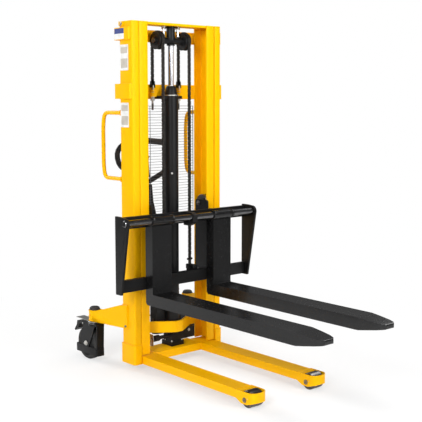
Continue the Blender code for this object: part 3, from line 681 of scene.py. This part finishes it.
def folded(height, lift):
    """The share of the slack's length at which a link rests that the full lift carries to a height."""
    share_low, share_high = -0.2, 1.2
    for _ in range(30):
        share = (share_low + share_high) / 2
        eased = min(max(share, 0.0), 1.0)
        reached = SLACK * share + lift * eased * eased * (3 - 2 * eased)
        share_low, share_high = (share, share_high) if reached < height else (share_low, share)
    return share


for label, _ in SIDES:
    front_chain(label)
    pulley_chain(label)
    rear_chain(label)


# Chain ends: clevises, lug rings and locked threads


def chain_ends(label):
    """The adjuster at the fixed beam: a clevis, the lug's ring, a washer with lock nuts and the thread."""
    x, y = middle("chain_rear_" + label).xy
    beam = high("crossbeam_mid")
    eye_top = high("chain_anchor_" + label).z
    clevis = Shape()
    cheek = [(-0.011, 0.0), (0.011, 0.0), (0.0085, 0.016), (0.006, 0.034), (-0.006, 0.034), (-0.0085, 0.016)]
    for offset in (-0.0112, 0.0088):
        clevis.slab(cheek, plane((x + offset, y, eye_top - 0.012), Y_AXIS, UP), 0.0024)
    for radius, half, z in ((0.004, 0.0135, eye_top - 0.003), (0.0032, 0.0125, eye_top + 0.016)):
        clevis.rod(radius, (x - half, y, z), (x + half, y, z), 10, 0.0006)
    piece(clevis, "clevis_upper_" + label, "black_paint", "chassis")
    lug = Shape()
    ring = [(0.0085, 0), (0.0135, 0.001), (0.0145, 0.004), (0.0135, 0.007), (0.0085, 0.008)]
    lug.turned(ring, (x, y, beam.z - 0.038))
    seam_y, seam_z = beam.y - 0.02, beam.z - 0.043
    lug.weld((x - 0.016, seam_y, seam_z), (x + 0.016, seam_y, seam_z), 0.0025)
    piece(lug, "lug_ring_" + label, "yellow_paint", "chassis")
    lock = Shape()
    under = beam.z - 0.064
    lock.turned(collar(0.006, 0.0125, 0.0015), (x, y, under - 0.0016), UP, 20)
    for drop in (0.011, 0.021):
        lock.turned(nut(0.0056, 0.0112, 0.0085, 0.0007), (x, y, under - drop), UP, 6)
    piece(lock, "lock_nuts_" + label, "bare_steel", "chassis")
    thread = Shape()
    turns, pitch, start = 14, 0.0024, 0.002
    profile = [(0, 0)]
    for i in range(turns):
        z = start + i * pitch
        profile += [(0.0052, z), (0.0062, z + pitch / 2)]
    profile.append((0, start + turns * pitch))
    thread.turned(profile, (x, y, low("chain_anchor_" + label).z), UP, 14)
    piece(thread, "thread_" + label, "chain_steel", "chassis")


def carriage_chain_ends(label):
    """The forked end on the carriage's lower bar, with its pin and nut, and the seat under it."""
    node = "chain_clevis_" + label
    first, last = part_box(node)
    x, y = middle(node).xy
    eye = last.z - 0.012
    ends = Shape()
    ends.rod(0.0036, (x - 0.0155, y, eye), (x + 0.0155, y, eye), 10, 0.0006)
    for side in (-1, 1):
        ends.turned(dome(0.0062, 0.0052, 0.0022, 0.0026), (x + side * 0.0138, y, eye), (side, 0, 0), 14)
    ends.turned(nut(0.0075, 0.0158, 0.01, 0.0008), (x, y, first.z - 0.001), UP, 6)
    piece(ends, "clevis_pin_" + label, "chain_steel", "carriage")
    bar = low("carriage_frame").z + 0.062
    seat = Shape()
    seat.block((x - 0.0155, y - 0.047, bar - 0.004), (x + 0.0155, y + 0.0155, bar + 0.021), 0.0015)
    piece(seat, "chain_seat_" + label, "black_paint", "carriage")


# Lift head, cylinder, carriage and forks

CHEEK_X, CHEEK_T = 0.183, 0.011
FORK_HALF, SLEEVE_R = 0.0625, 0.0222


def pulley_faces(label, side):
    """The rim, hub and marks of a chain pulley, and the keeper that holds it on the cross tube."""
    node = "chain_pulley_" + label
    centre = middle(node)
    radius = high(node).z - centre.z
    outer, inner = end_x(node, side), end_x(node, -side)
    face = Shape()
    for x, sign in ((outer, side), (inner, -side)):
        place = Vector((x, centre.y, centre.z))
        rim = [(radius - 0.007, -0.001), (radius - 0.0035, 0.0016), (radius - 0.001, -0.001)]
        face.turned(rim, place, (sign, 0, 0), 36)
        hub = [(0.0165, -0.001), (0.0165, 0.0012), (0.0205, 0.0012), (0.0225, -0.001)]
        face.turned(hub, place, (sign, 0, 0), 28)
    for angle in circle(5):
        spot = Vector((outer - side * 0.0005, centre.y + 0.03 * cos(angle), centre.z + 0.03 * sin(angle)))
        face.turned(dome(0.0042, 0.0036, 0.0012, 0.0008), spot, (side, 0, 0), 12)
    piece(face, "pulley_face_" + label, "black_paint", "pulley_" + label)
    keeper = Shape()
    place = Vector((end_x("lift_head", side), centre.y, centre.z))
    keeper.turned(head(0.0135, 0.0022, 0.002, 0.001, -0.001), place, (side, 0, 0), 20)
    keeper.turned(head(0.0042, 0.0054, 0.0012, 0.0006, 0.001), place, (side, 0, 0), 6)
    piece(keeper, "pulley_keeper_" + label, "dark_zinc", "lift_carrier")


def lift_cylinder():
    """The gland's rings and spanner holes, the bands and the port low on the tube, and the bleed plug."""
    first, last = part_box("cylinder_tube")
    y = middle("cylinder_tube").y
    shoulder = last.z - 0.051
    rings = Shape()
    rings.turned(nut(0.034, 0.0408, 0.0052, 0.0006), (0, y, shoulder), UP, 40)
    lip = [(0.015, 0), (0.0212, 0), (0.0212, 0.0012), (0.019, 0.0035), (0.015, 0.0035)]
    rings.turned(lip, (0, y, last.z - 0.0004), UP, 28)
    piece(rings, "gland_ring", "bare_steel", "chassis")
    body = Shape()
    for height in (0.032, 0.05):
        body.turned(collar(0.0375, 0.0396, 0.006, 0.001), (0, y, first.z + height), UP, 36)
    for angle in circle(8):
        outwards = Vector((cos(angle), sin(angle), 0))
        spot = Vector((0, y, shoulder + 0.026)) + outwards * 0.029
        body.turned(dome(0.0038, 0.003, 0.0018), spot, outwards + UP * 0.28, 10)
    port = first.z + 0.1
    body.turned(head(0.0105, 0.0075, 0.0015, 0.0015), (0, y + 0.0365, port), Y_AXIS, 6)
    body.rod(0.0062, (0, y + 0.037, port), (0, y + 0.049, port), 12, 0.001)
    piece(body, "cylinder_fittings", "black_paint", "chassis")
    plug = Shape()
    aim = Vector((-0.55, -0.83, 0)).normalized()
    spot = Vector((0, y, first.z + 0.686)) + aim * 0.0378
    plug.turned(head(0.0052, 0.0042, 0.0012, 0.0012, -0.002), spot, aim, 14)
    piece(plug, "bleed_plug", "white_cap", "chassis")


def rod_head():
    """The collars and the grub screw of the rod's head, the cross tube's collars, and the studs' nuts."""
    y, z = middle("lift_rod").y, middle("chain_pulley_left").z
    collars = Shape()
    collars.turned(collar(0.0225, 0.0262, 0.008, 0.001), (0, y, high("lift_head").z - 0.009), UP, 32)
    collars.turned(collar(0.0165, 0.0215, 0.01, 0.001), (0, y, z - 0.0255), UP, 28)
    for side in (-1, 1):
        collars.turned(collar(0.0165, 0.02, 0.0095, 0.0005), (side * 0.062, y, z), (side, 0, 0), 28)
    collars.bolt((0, y - 0.0225, z + 0.03), -Y_AXIS, 0.0048, 0.004, washer=False)
    piece(collars, "rod_head_collars", "black_paint", "lift_carrier")
    studs = Shape()
    flange = [(0, 0), (0.0085, 0), (0.0095, 0.0015), (0.0095, 0.005), (0, 0.005)]
    for label, _ in SIDES:
        node = "guide_stud_" + label
        x, y = middle(node).xy
        studs.turned(nut(0.007, 0.0126, 0.008, 0.0006), (x, y, high(node).z - 0.0135), UP, 6)
        studs.turned(flange, (x, y, low(node).z - 0.001), UP, 20)
    piece(studs, "guide_stud_nuts", "bare_steel", "inner_mast")


def carriage_details():
    """The roller bolts inside the cheeks, the shaft's end caps, and the welds of bars and cheeks."""
    bolts, beads, caps = Shape(), Shape(), Shape()
    first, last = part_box("carriage_frame")
    shaft = middle("fork_shaft")
    rear = high("carriage_bracket_left").y - 0.0245
    for label, side in SIDES:
        for level in ("upper", "lower"):
            roller = middle(f"carriage_roller_{label}_{level}")
            face = (side * CHEEK_X, roller.y, roller.z)
            bolts.bolt(face, (-side, 0, 0), 0.0105, 0.0065)
            bolts.turned(head(0.0052, 0.0115, 0.001, 0.001, 0.005), face, (-side, 0, 0), 14)
        tip = (end_x("fork_shaft", side), shaft.y, shaft.z)
        caps.turned(head(0.012, 0.0022, 0.0015, 0.0012, -0.002), tip, (side, 0, 0), 28)
        for edge in (side * CHEEK_X, side * (CHEEK_X + CHEEK_T)):
            for z in (first.z + 0.004, last.z - 0.086):
                beads.weld((edge, rear + 0.024, z), (edge, rear + 0.024, z + 0.042), 0.0026, side)
        edge, z = side * CHEEK_X, last.z - 0.0435
        beads.weld((edge, rear + 0.002, z), (edge, rear + 0.022, z), 0.0024)
    piece(bolts, "roller_bolts", "dark_zinc", "carriage")
    piece(caps, "shaft_end_caps", "black_paint", "carriage")
    piece(beads, "carriage_welds", "black_paint", "carriage")


def roller_faces(label, side, level):
    """The bearing's shield on a guide roller's open face."""
    name = f"carriage_roller_{label}_{level}"
    place = middle(name)
    place.x = end_x(name, side)
    shield = Shape()
    ring = [(0.019, -0.001), (0.021, 0.001), (0.031, 0.001), (0.033, -0.001)]
    shield.turned(ring, place, (side, 0, 0), 32)
    piece(shield, f"roller_shield_{label}_{level}", "dark_zinc", f"guide_roller_{label}_{level}")


def fork_details(label):
    """The welds of sleeve, shank and toe, and the sleeve's end collars with their screw."""
    name, body = "fork_" + label, f"fork_{label}_body"
    first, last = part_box(name)
    shaft = middle("fork_shaft")
    x = middle(name).x
    beads = Shape()
    reach = SLEEVE_R + 0.001
    turns = [radians(a) for a in range(-30, 181, 10)]
    for sign in (-1, 1):
        edge = x + sign * FORK_HALF
        arc = [Vector((edge, shaft.y + reach * cos(a), shaft.z + reach * sin(a))) for a in turns]
        beads.pipe(arc, [0.003 + 0.0004 * sin(2.1 * i) for i in range(len(arc))], 6)
        inner, y = x + sign * (FORK_HALF - 0.01), last.y - 0.004
        beads.weld((inner, y, first.z + 0.06), (inner, y, shaft.z - 0.045), 0.0028, sign)
    half, y, z = FORK_HALF - 0.012, first.y + 0.155, first.z + 0.004
    beads.weld((x - half, y, z), (x + half, y, z), 0.0022)
    piece(beads, "fork_welds_" + label, "fork_paint", body)
    collars = Shape()
    for sign in (-1, 1):
        place = Vector((x + sign * 0.06, shaft.y, shaft.z))
        collars.turned(collar(SLEEVE_R - 0.001, SLEEVE_R + 0.0022, 0.0108, 0.0006), place, (sign, 0, 0), 36)
    screw = (x, shaft.y - SLEEVE_R + 0.0006, shaft.z + 0.004)
    collars.bolt(screw, -Y_AXIS, 0.005, 0.0042, washer=False)
    piece(collars, "fork_collars_" + label, "fork_paint", body)


for label, side in SIDES:
    chain_ends(label)
    carriage_chain_ends(label)
    pulley_faces(label, side)
    fork_details(label)
    for level in ("upper", "lower"):
        roller_faces(label, side, level)
lift_cylinder()
rod_head()
carriage_details()


# Wire screen: a border rod and thin wires, the level ones slightly uneven

SCREEN_ROWS, SCREEN_STEPS = 39, 12


def wire_screen():
    first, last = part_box("mesh_guard")
    y = middle("mesh_guard").y
    wires = Shape()
    inset = 0.0016
    left, right = first.x + inset, last.x - inset
    bottom, top = first.z + inset, last.z - inset
    corners = [(left, bottom), (right, bottom), (right, top), (left, top)]
    wires.pipe([(x, y, z) for x, z in corners], 0.0022, 8, closed=True)
    for x in (left + 0.113, right - 0.113):
        wires.rod(0.0015, (x, y + 0.002, bottom), (x, y + 0.002, top), 6)
    for i in range(1, SCREEN_ROWS):
        level = bottom + (top - bottom) * i / SCREEN_ROWS
        points = []
        for k in range(SCREEN_STEPS + 1):
            x = left + (right - left) * k / SCREEN_STEPS
            sway = 0.0012 * sin(3.1 * i + 0.9 * k) * sin(pi * k / SCREEN_STEPS)
            points.append((x, y, level + sway))
        wires.pipe(points, 0.0011, 5)
    piece(wires, "screen_wires", "wire_steel", "chassis", ("mesh_guard",))


wire_screen()


# Base: casters, load rollers, pump and welds


def wheel_details(label):
    """The tyre with a rib round each side, and the core with its hub and spokes."""
    node = "caster_wheel_" + label
    wheel = middle(node)
    radius = high(node).z - wheel.z
    half = high(node).x - wheel.x - 0.0008
    tread = Shape()
    tyre = [(radius - 0.02, -half), (radius - 0.005, -half), (radius + 0.0004, -half + 0.009)]
    tyre += [(r, -h) for r, h in reversed(tyre)]
    tread.turned(tyre, wheel, X_AXIS, 64)
    rib = [(radius - 0.0155, half - 0.001), (radius - 0.0145, half + 0.001)]
    rib += [(radius - 0.0125, half + 0.001), (radius - 0.0115, half - 0.001)]
    for sign in (-1, 1):
        tread.turned(rib, wheel, (sign, 0, 0), 64)
    piece(tread, "tyre_" + label, "tread", "wheel_" + label)
    core = Shape()
    hub = [(0.0085, 0.014), (0.0085, half + 0.0014), (0.0165, half + 0.0014), (0.0185, 0.014)]
    spoke = [(0.016, -0.003), (radius - 0.022, -0.002), (radius - 0.022, 0.002), (0.016, 0.003)]
    for sign in (-1, 1):
        out = Vector((sign, 0, 0))
        core.turned(hub, wheel, out, 28)
        for angle in circle(6, 0.3):
            reach = Vector((0, cos(angle), sin(angle)))
            core.slab(spoke, plane(wheel + out * (half - 0.006), reach, out.cross(reach)), 0.0042)
    piece(core, "wheel_core_" + label, "grip", "wheel_" + label)


def swivel_details(label):
    """The wheel's axle bolt, the zinc plate under the housing, and the swivel race with its rivets."""
    wheel = middle("caster_wheel_" + label)
    x, y = middle("caster_cap_" + label).xy
    yoke = high("caster_yoke_" + label)
    body = "caster_" + label
    metal = Shape()
    for sign in (-1, 1):
        place = Vector((wheel.x + sign * 0.0262, wheel.y, wheel.z))
        metal.bolt(place, (sign, 0, 0), 0.0105, 0.0068)
        metal.turned(head(0.0052, 0.012, 0.001, 0.0008, 0.006), place, (sign, 0, 0), 14)
    piece(metal, "axle_bolt_" + label, "bare_steel", body)
    swivel = Shape()
    swivel.turned(nut(0, 0.0385, 0.0034, 0.001, 0.0008), (x, y, yoke.z - 0.0046), UP, 36)
    tongue = (x + 0.026, yoke.y - 0.003, yoke.z - 0.0016)
    swivel.block((x - 0.026, y - 0.034, yoke.z - 0.0044), tongue, 0.0008)
    piece(swivel, "swivel_plate_" + label, "bare_steel", body)
    races = Shape()
    races.turned(collar(0.0345, 0.038, 0.006, 0.001), (x, y, yoke.z - 0.016), UP, 36)
    for angle in circle(4, pi / 4):
        spot = (x + 0.0372 * cos(angle), y + 0.0372 * sin(angle), yoke.z - 0.01)
        races.turned(dome(0.0034, 0.0028, 0.0014), spot, (cos(angle), sin(angle), 0), 10)
    piece(races, "swivel_race_" + label, "dark_zinc", body)


def housing_details(label, side):
    """The dust cap's rim and button, the rings round the swivel housing, and its grease nipple."""
    first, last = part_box("caster_cap_" + label)
    x, y = middle("caster_cap_" + label).xy
    foot = low("caster_arm_" + label).z
    dust = Shape()
    rim = [(0.027, 0), (0.0302, 0.0005), (0.0306, 0.0022), (0.0285, 0.004), (0.027, 0.004)]
    dust.turned(rim, (x, y, first.z - 0.0002), UP, 32)
    dust.turned(dome(0.0105, 0.0095, 0.0016, 0.002), (x, y, last.z - 0.0002))
    piece(dust, "dust_cap_rim_" + label, "rubber", "chassis")
    rings = Shape()
    rings.turned(collar(0.0315, 0.0345, 0.0043, 0.0008), (x, y, first.z - 0.006), UP, 36)
    rings.turned(collar(0.0315, 0.0345, 0.0053, 0.0008), (x, y, foot + 0.001), UP, 36)
    nipple = [(0, 0), (0.004, 0), (0.004, 0.004), (0.0022, 0.006), (0.0026, 0.008)]
    nipple += [(0.0012, 0.0095), (0, 0.0095)]
    rings.turned(nipple, (x + side * 0.0325, y, foot + 0.03), (side, 0, 0), 10)
    piece(rings, "housing_rings_" + label, "yellow_paint", "chassis")


def pedal_details(label):
    """Ribs across the brake pedal, and the pin that it tilts on."""
    x = middle("caster_wheel_" + label).x
    first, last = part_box("caster_brake_" + label)
    pedal = Shape()
    for k in range(5):
        y = first.y + 0.018 + 0.01 * k
        z = last.z - 0.0024 - 0.115 * (y - first.y)
        pedal.block((x - 0.0165, y, z - 0.002), (x + 0.0165, y + 0.0045, z + 0.0026), 0.0008)
    piece(pedal, "pedal_ribs_" + label, "black_paint", "brake_" + label)
    hinge = Shape()
    y, z = first.y + 0.002, last.z - 0.012
    hinge.rod(0.0045, (x - 0.029, y, z), (x + 0.029, y, z), 12, 0.0008)
    piece(hinge, "pedal_pin_" + label, "bare_steel", "caster_" + label)


def load_roller_details(label, side):
    """The axle's ends and roll pins, the bearings' faces, and the welds of the strap and the leg."""
    leg_low, leg_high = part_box("leg_" + label)
    cross_low, cross_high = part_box("base_crossbeam")
    roller = middle("load_roller_" + label)
    ends, pins, bearings, beads = Shape(), Shape(), Shape(), Shape()
    strap = leg_low.y + 0.1165
    race = [(0.01, -0.001), (0.0115, 0.0008), (0.021, 0.0008), (0.0225, -0.001)]
    for sign in (-1, 1):
        out = Vector((sign, 0, 0))
        face = roller.x + sign * 0.0516
        ends.turned(collar(0.0082, 0.0125, 0.0012), (face, roller.y, roller.z), out)
        tip = (face + sign * 0.0006, roller.y, roller.z)
        ends.turned(dome(0.0072, 0.0064, 0.0016), tip, out, 20)
        pins.turned(dome(0.0022, 0.0022, 0.0018), (face, roller.y - 0.02, roller.z + 0.01), out, 10)
        bearings.turned(race, roller + out * 0.0398, out, 28)
        edge, y = roller.x + sign * 0.0468, strap + 0.0008
        beads.weld((edge, y, leg_low.z + 0.02), (edge, y, leg_high.z - 0.003), 0.0022, sign)
    piece(ends, "axle_ends_" + label, "dark_zinc", "chassis")
    piece(pins, "roll_pins_" + label, "bare_steel", "chassis")
    piece(bearings, "load_bearing_" + label, "dark_zinc", "load_wheel_" + label)
    y, z = strap + 0.0005, leg_high.z - 0.0016
    beads.weld((roller.x - 0.044, y, z), (roller.x + 0.044, y, z), 0.0024)
    inner, y, z = roller.x - side * 0.0465, cross_low.y - 0.0006, cross_high.z
    beads.weld((inner, y, cross_low.z + 0.003), (inner, y, z - 0.002), 0.003, side)
    beads.weld((inner, cross_low.y, z), (inner, cross_high.y, z), 0.0026, side)
    piece(beads, "leg_welds_" + label, "yellow_paint", "chassis")


def pump_details():
    """The flange's and the valve's bolts, the hose end, the pressure pipe, and the tank's cap and plug."""
    block_low, block_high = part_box("pump_block")
    tank_low, tank_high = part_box("pump_body")
    front, left = block_low.y, block_low.x
    bolts = Shape()
    flange_top = block_low.z + 0.0234
    for x, y in ((-0.0095, front + 0.0085), (0.059, front + 0.0085), (-0.0095, front + 0.064)):
        bolts.turned(head(0.0052, 0.007, 0.0008, 0.001), (x, y, flange_top), UP, 12)
    valve = (block_high.x - 0.04, front + 0.0085, block_high.z - 0.017)
    bolts.bolt(valve, -Y_AXIS, 0.006, 0.004)
    piece(bolts, "pump_bolts", "bare_steel", "chassis")
    plumbing = Shape()
    y, z = front + 0.016, block_high.z - 0.03
    plumbing.block((left - 0.001, y - 0.024, z - 0.034), (left + 0.0025, y + 0.028, z + 0.03), 0.0012)
    plumbing.turned(head(0.0125, 0.0095, 0.0015, 0.0015), (left, y, z), -X_AXIS, 6)
    piece(plumbing, "hose_end_collar", "bare_steel", "chassis")
    line = Shape()
    out, across, rise = left - 0.012, -0.075, z + 0.105
    rear = tank_high.y - 0.0775
    route = [(left + 0.004, y, z), (out, y, z), (out, rear, z), (out, rear, rise)]
    route += [(across, rear, rise), (across, rear - 0.021, rise)]
    line.pipe(rounded_route([Vector(point) for point in route], 0.014), 0.0042, 10)
    piece(line, "pressure_pipe", "black_paint", "chassis")
    tank = Shape()
    y = middle("cylinder_tube").y + 0.042
    cap = [(0, 0), (0.0145, 0), (0.0155, 0.001), (0.0155, 0.006), (0.0135, 0.009), (0, 0.01)]
    tank.turned(cap, (-0.074, y, tank_high.z - 0.0222))
    tank.turned(head(0.0085, 0.006, 0.002, 0.002), (tank_low.x, y, tank_high.z - 0.11), -X_AXIS, 6)
    piece(tank, "filler_cap", "grip", "chassis")


def rounded_route(points, radius, steps=6):
    """The route with its corners turned into arcs."""
    made = [points[0]]
    for before, corner, after in zip(points, points[1:], points[2:]):
        entry = corner + (before - corner).normalized() * radius
        leave = corner + (after - corner).normalized() * radius
        for i in range(steps + 1):
            t = i / steps
            made.append(entry * (1 - t) ** 2 + corner * 2 * t * (1 - t) + leave * t ** 2)
    return made + [points[-1]]


def frame_details(label, side):
    """The welds of beams, sleeve and arm, the arm's and the lug's bolts, and the grab bar's mounts."""
    upright_low, upright_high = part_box("upright_" + label)
    arm_low, arm_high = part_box("caster_arm_" + label)
    out = (side, 0, 0)
    near, far = side * 0.2975, side * 0.298
    beads = Shape()
    for beam in ("crossbeam_upper", "crossbeam_mid"):
        first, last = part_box(beam)
        for z in (first.z, last.z):
            beads.weld((near, first.y + 0.002, z), (near, last.y - 0.03, z), 0.0022, z)
        y = first.y - 0.0003
        beads.weld((far, y, first.z + 0.002), (far, y, last.z - 0.002), 0.0024, side)
    sleeve, rear = upright_low.z + 0.103, upright_high.y - 0.006
    beads.weld((far, FRONT + 0.004, sleeve), (far, rear, sleeve), 0.002, side)
    y = FRONT - 0.0005
    beads.weld((side * 0.262, y, sleeve), (side * 0.292, y, sleeve), 0.002, side)
    for z in (arm_low.z + 0.001, arm_high.z - 0.001):
        beads.weld((near, arm_low.y + 0.002, z), (near, rear, z), 0.0022, side)
    edge, y = side * 0.2985, arm_low.y
    beads.weld((edge, y, arm_low.z + 0.002), (edge, y, arm_high.z - 0.004), 0.0024)
    piece(beads, "frame_welds_" + label, "yellow_paint", "chassis")
    bolts = Shape()
    bolts.bolt((side * 0.3065, arm_low.y + 0.01, arm_low.z + 0.012), out, 0.0058, 0.0045)
    piece(bolts, "frame_bolts_" + label, "dark_zinc", "chassis")
    lug = Shape()
    y, z = FRONT + 0.087, upright_high.z - 0.013
    lug.turned(dome(0.0105, 0.0105, 0.0012), (side * 0.303, y, z), out, 20)
    lug.bolt((side * 0.304, y, z), out, 0.0082, 0.0068)
    piece(lug, "lug_bolt_" + label, "bare_steel", "chassis")
    handle = "side_handle_" + label
    mounts = Shape()
    foot = [(0.012, 0), (0.0175, 0.0004), (0.015, 0.0038), (0.012, 0.005)]
    for z in (low(handle).z + 0.0125, high(handle).z - 0.0125):
        mounts.turned(foot, (middle(handle).x, FRONT + 0.1104, z), Y_AXIS, 28)
    piece(mounts, "handle_welds_" + label, "yellow_paint", "chassis")


def inner_mast_details():
    """The welds of the head bar and the tie bar, and the slide pads at the channels' top."""
    beads, pads = Shape(), Shape()
    first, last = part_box("inner_head_bar")
    tie_low, tie_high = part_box("inner_tie_bar")
    under = first.z - 0.0008
    for _, side in SIDES:
        edge = side * 0.243
        beads.weld((edge, first.y + 0.002, under), (edge, last.y - 0.002, under), 0.0024, side)
        tip, y = side * 0.1972, tie_high.y
        for z in (tie_low.z, tie_high.z):
            beads.weld((tip, y - 0.0085, z), (tip, y - 0.0005, z), 0.002, side)
        near, far = sorted((side * 0.2415, side * 0.2315))
        pads.block((near, FRONT + 0.0095, last.z - 0.092), (far, FRONT + 0.0285, last.z - 0.032), 0.001)
    piece(beads, "inner_mast_welds", "yellow_paint", "inner_mast")
    piece(pads, "slide_pads", "grip", "inner_mast")


# Tiller: rubber sleeves on the loop, pivot bolts, guides for the release rod

LEAN = 0.125


def tiller_details():
    foot, top = low("tiller_stem").z, high("tiller_stem").z
    pivot = Vector((0, FRONT + 0.172, foot + 0.0135))

    def on_tiller(x, z, proud=0.0):
        """A place on the tiller's leaning plane, or a little behind it."""
        return Vector((x, pivot.y + (z - pivot.z) * LEAN + proud, z))

    sleeves = Shape()
    height = high("tiller_grip").z - 0.0157
    ribs = range(15)
    for side in (-1, 1):
        points = [on_tiller(side * (0.018 + 0.008 * i), height - 0.00075 * i) for i in ribs]
        sleeves.pipe(points, [0.0174 if i % 2 else 0.0165 for i in ribs], 20)
    piece(sleeves, "hand_grips", "grip", "tiller")
    bolts = Shape()
    for side in (-1, 1):
        bolts.bolt(pivot + Vector((side * 0.0435, 0, 0)), (side, 0, 0), 0.011, 0.0065)
    piece(bolts, "pivot_bolts", "bare_steel", "chassis")
    rod = Shape()
    for z in (0.45, 0.62, 0.79):
        start = on_tiller(0, z) + Vector((0, 0.015, -0.005))
        along = Vector((0, 0.0006, 0.01))
        rod.turned(collar(0.0026, 0.0052, along.length), start, along, 14)
    rod.pipe([on_tiller(0, foot + 0.073, 0.015), on_tiller(0, top + 0.001, 0.015)], 0.0024, 8)
    rod.weld(on_tiller(-0.009, top + 0.0002, 0.011), on_tiller(0.009, top + 0.0002, 0.011))
    piece(rod, "release_rod", "dark_zinc", "tiller")


# Blank stickers and a blank rating plate, each a thin sheet with rounded corners


def sheet(shape, place, u, v, width, height, thick=0.0005, corner=0.004):
    points = []
    corners = ((1, -1, -90), (1, 1, 0), (-1, 1, 90), (-1, -1, 180))
    for su, sv, start in corners:
        for turn in (0, 30, 60, 90):
            angle = radians(start + turn)
            across = su * (width / 2 - corner) + corner * cos(angle)
            upward = sv * (height / 2 - corner) + corner * sin(angle)
            points.append((across, upward))
    shape.slab(points, plane(place, u, v), thick)


def stickers():
    """A band in two colours on the upper beam's end, and two tall stickers with a blank panel or two."""
    beam_low, beam_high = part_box("crossbeam_upper")
    blue, white, panels = Shape(), Shape(), Shape()
    end, y = beam_low.x - 0.0001, beam_low.y + 0.076
    sheet(blue, (end, y, beam_high.z - 0.0175), -Y_AXIS, UP, 0.08, 0.026, corner=0.002)
    sheet(white, (end, y, beam_low.z + 0.0175), -Y_AXIS, UP, 0.08, 0.028, corner=0.002)
    face, y = -0.2971, FRONT + 0.068
    for z, height in ((1.625, 0.13), (1.335, 0.125)):
        sheet(white, (face, y, z), -Y_AXIS, UP, 0.07, height)
        for rise, share in ((0.28, 0.24), (-0.22, 0.36)):
            place = (face - 0.0004, y, z + height * rise)
            sheet(panels, place, -Y_AXIS, UP, 0.056, height * share)
    piece(blue, "sticker_top_band", "sticker_blue", "chassis")
    piece(white, "stickers_white", "sticker_white", "chassis")
    piece(panels, "stickers_panels", "sticker_panel", "chassis")


def rating_plate():
    first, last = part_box("crossbeam_mid")
    plate = Shape()
    x, z = -0.15, (first.z + last.z) / 2
    sheet(plate, (x, last.y + 0.0001, z), -X_AXIS, UP, 0.095, 0.052, 0.0008, 0.003)
    for sx in (-1, 1):
        for sz in (-1, 1):
            rivet = (x + sx * 0.0425, last.y + 0.0008, z + sz * 0.0205)
            plate.turned(dome(0.0026, 0.002, 0.001, 0.0013), rivet, Y_AXIS, 10)
    piece(plate, "rating_plate", "bare_steel", "chassis")


for label, side in SIDES:
    wheel_details(label)
    swivel_details(label)
    housing_details(label, side)
    pedal_details(label)
    load_roller_details(label, side)
    frame_details(label, side)
pump_details()
inner_mast_details()
tiller_details()
stickers()
rating_plate()
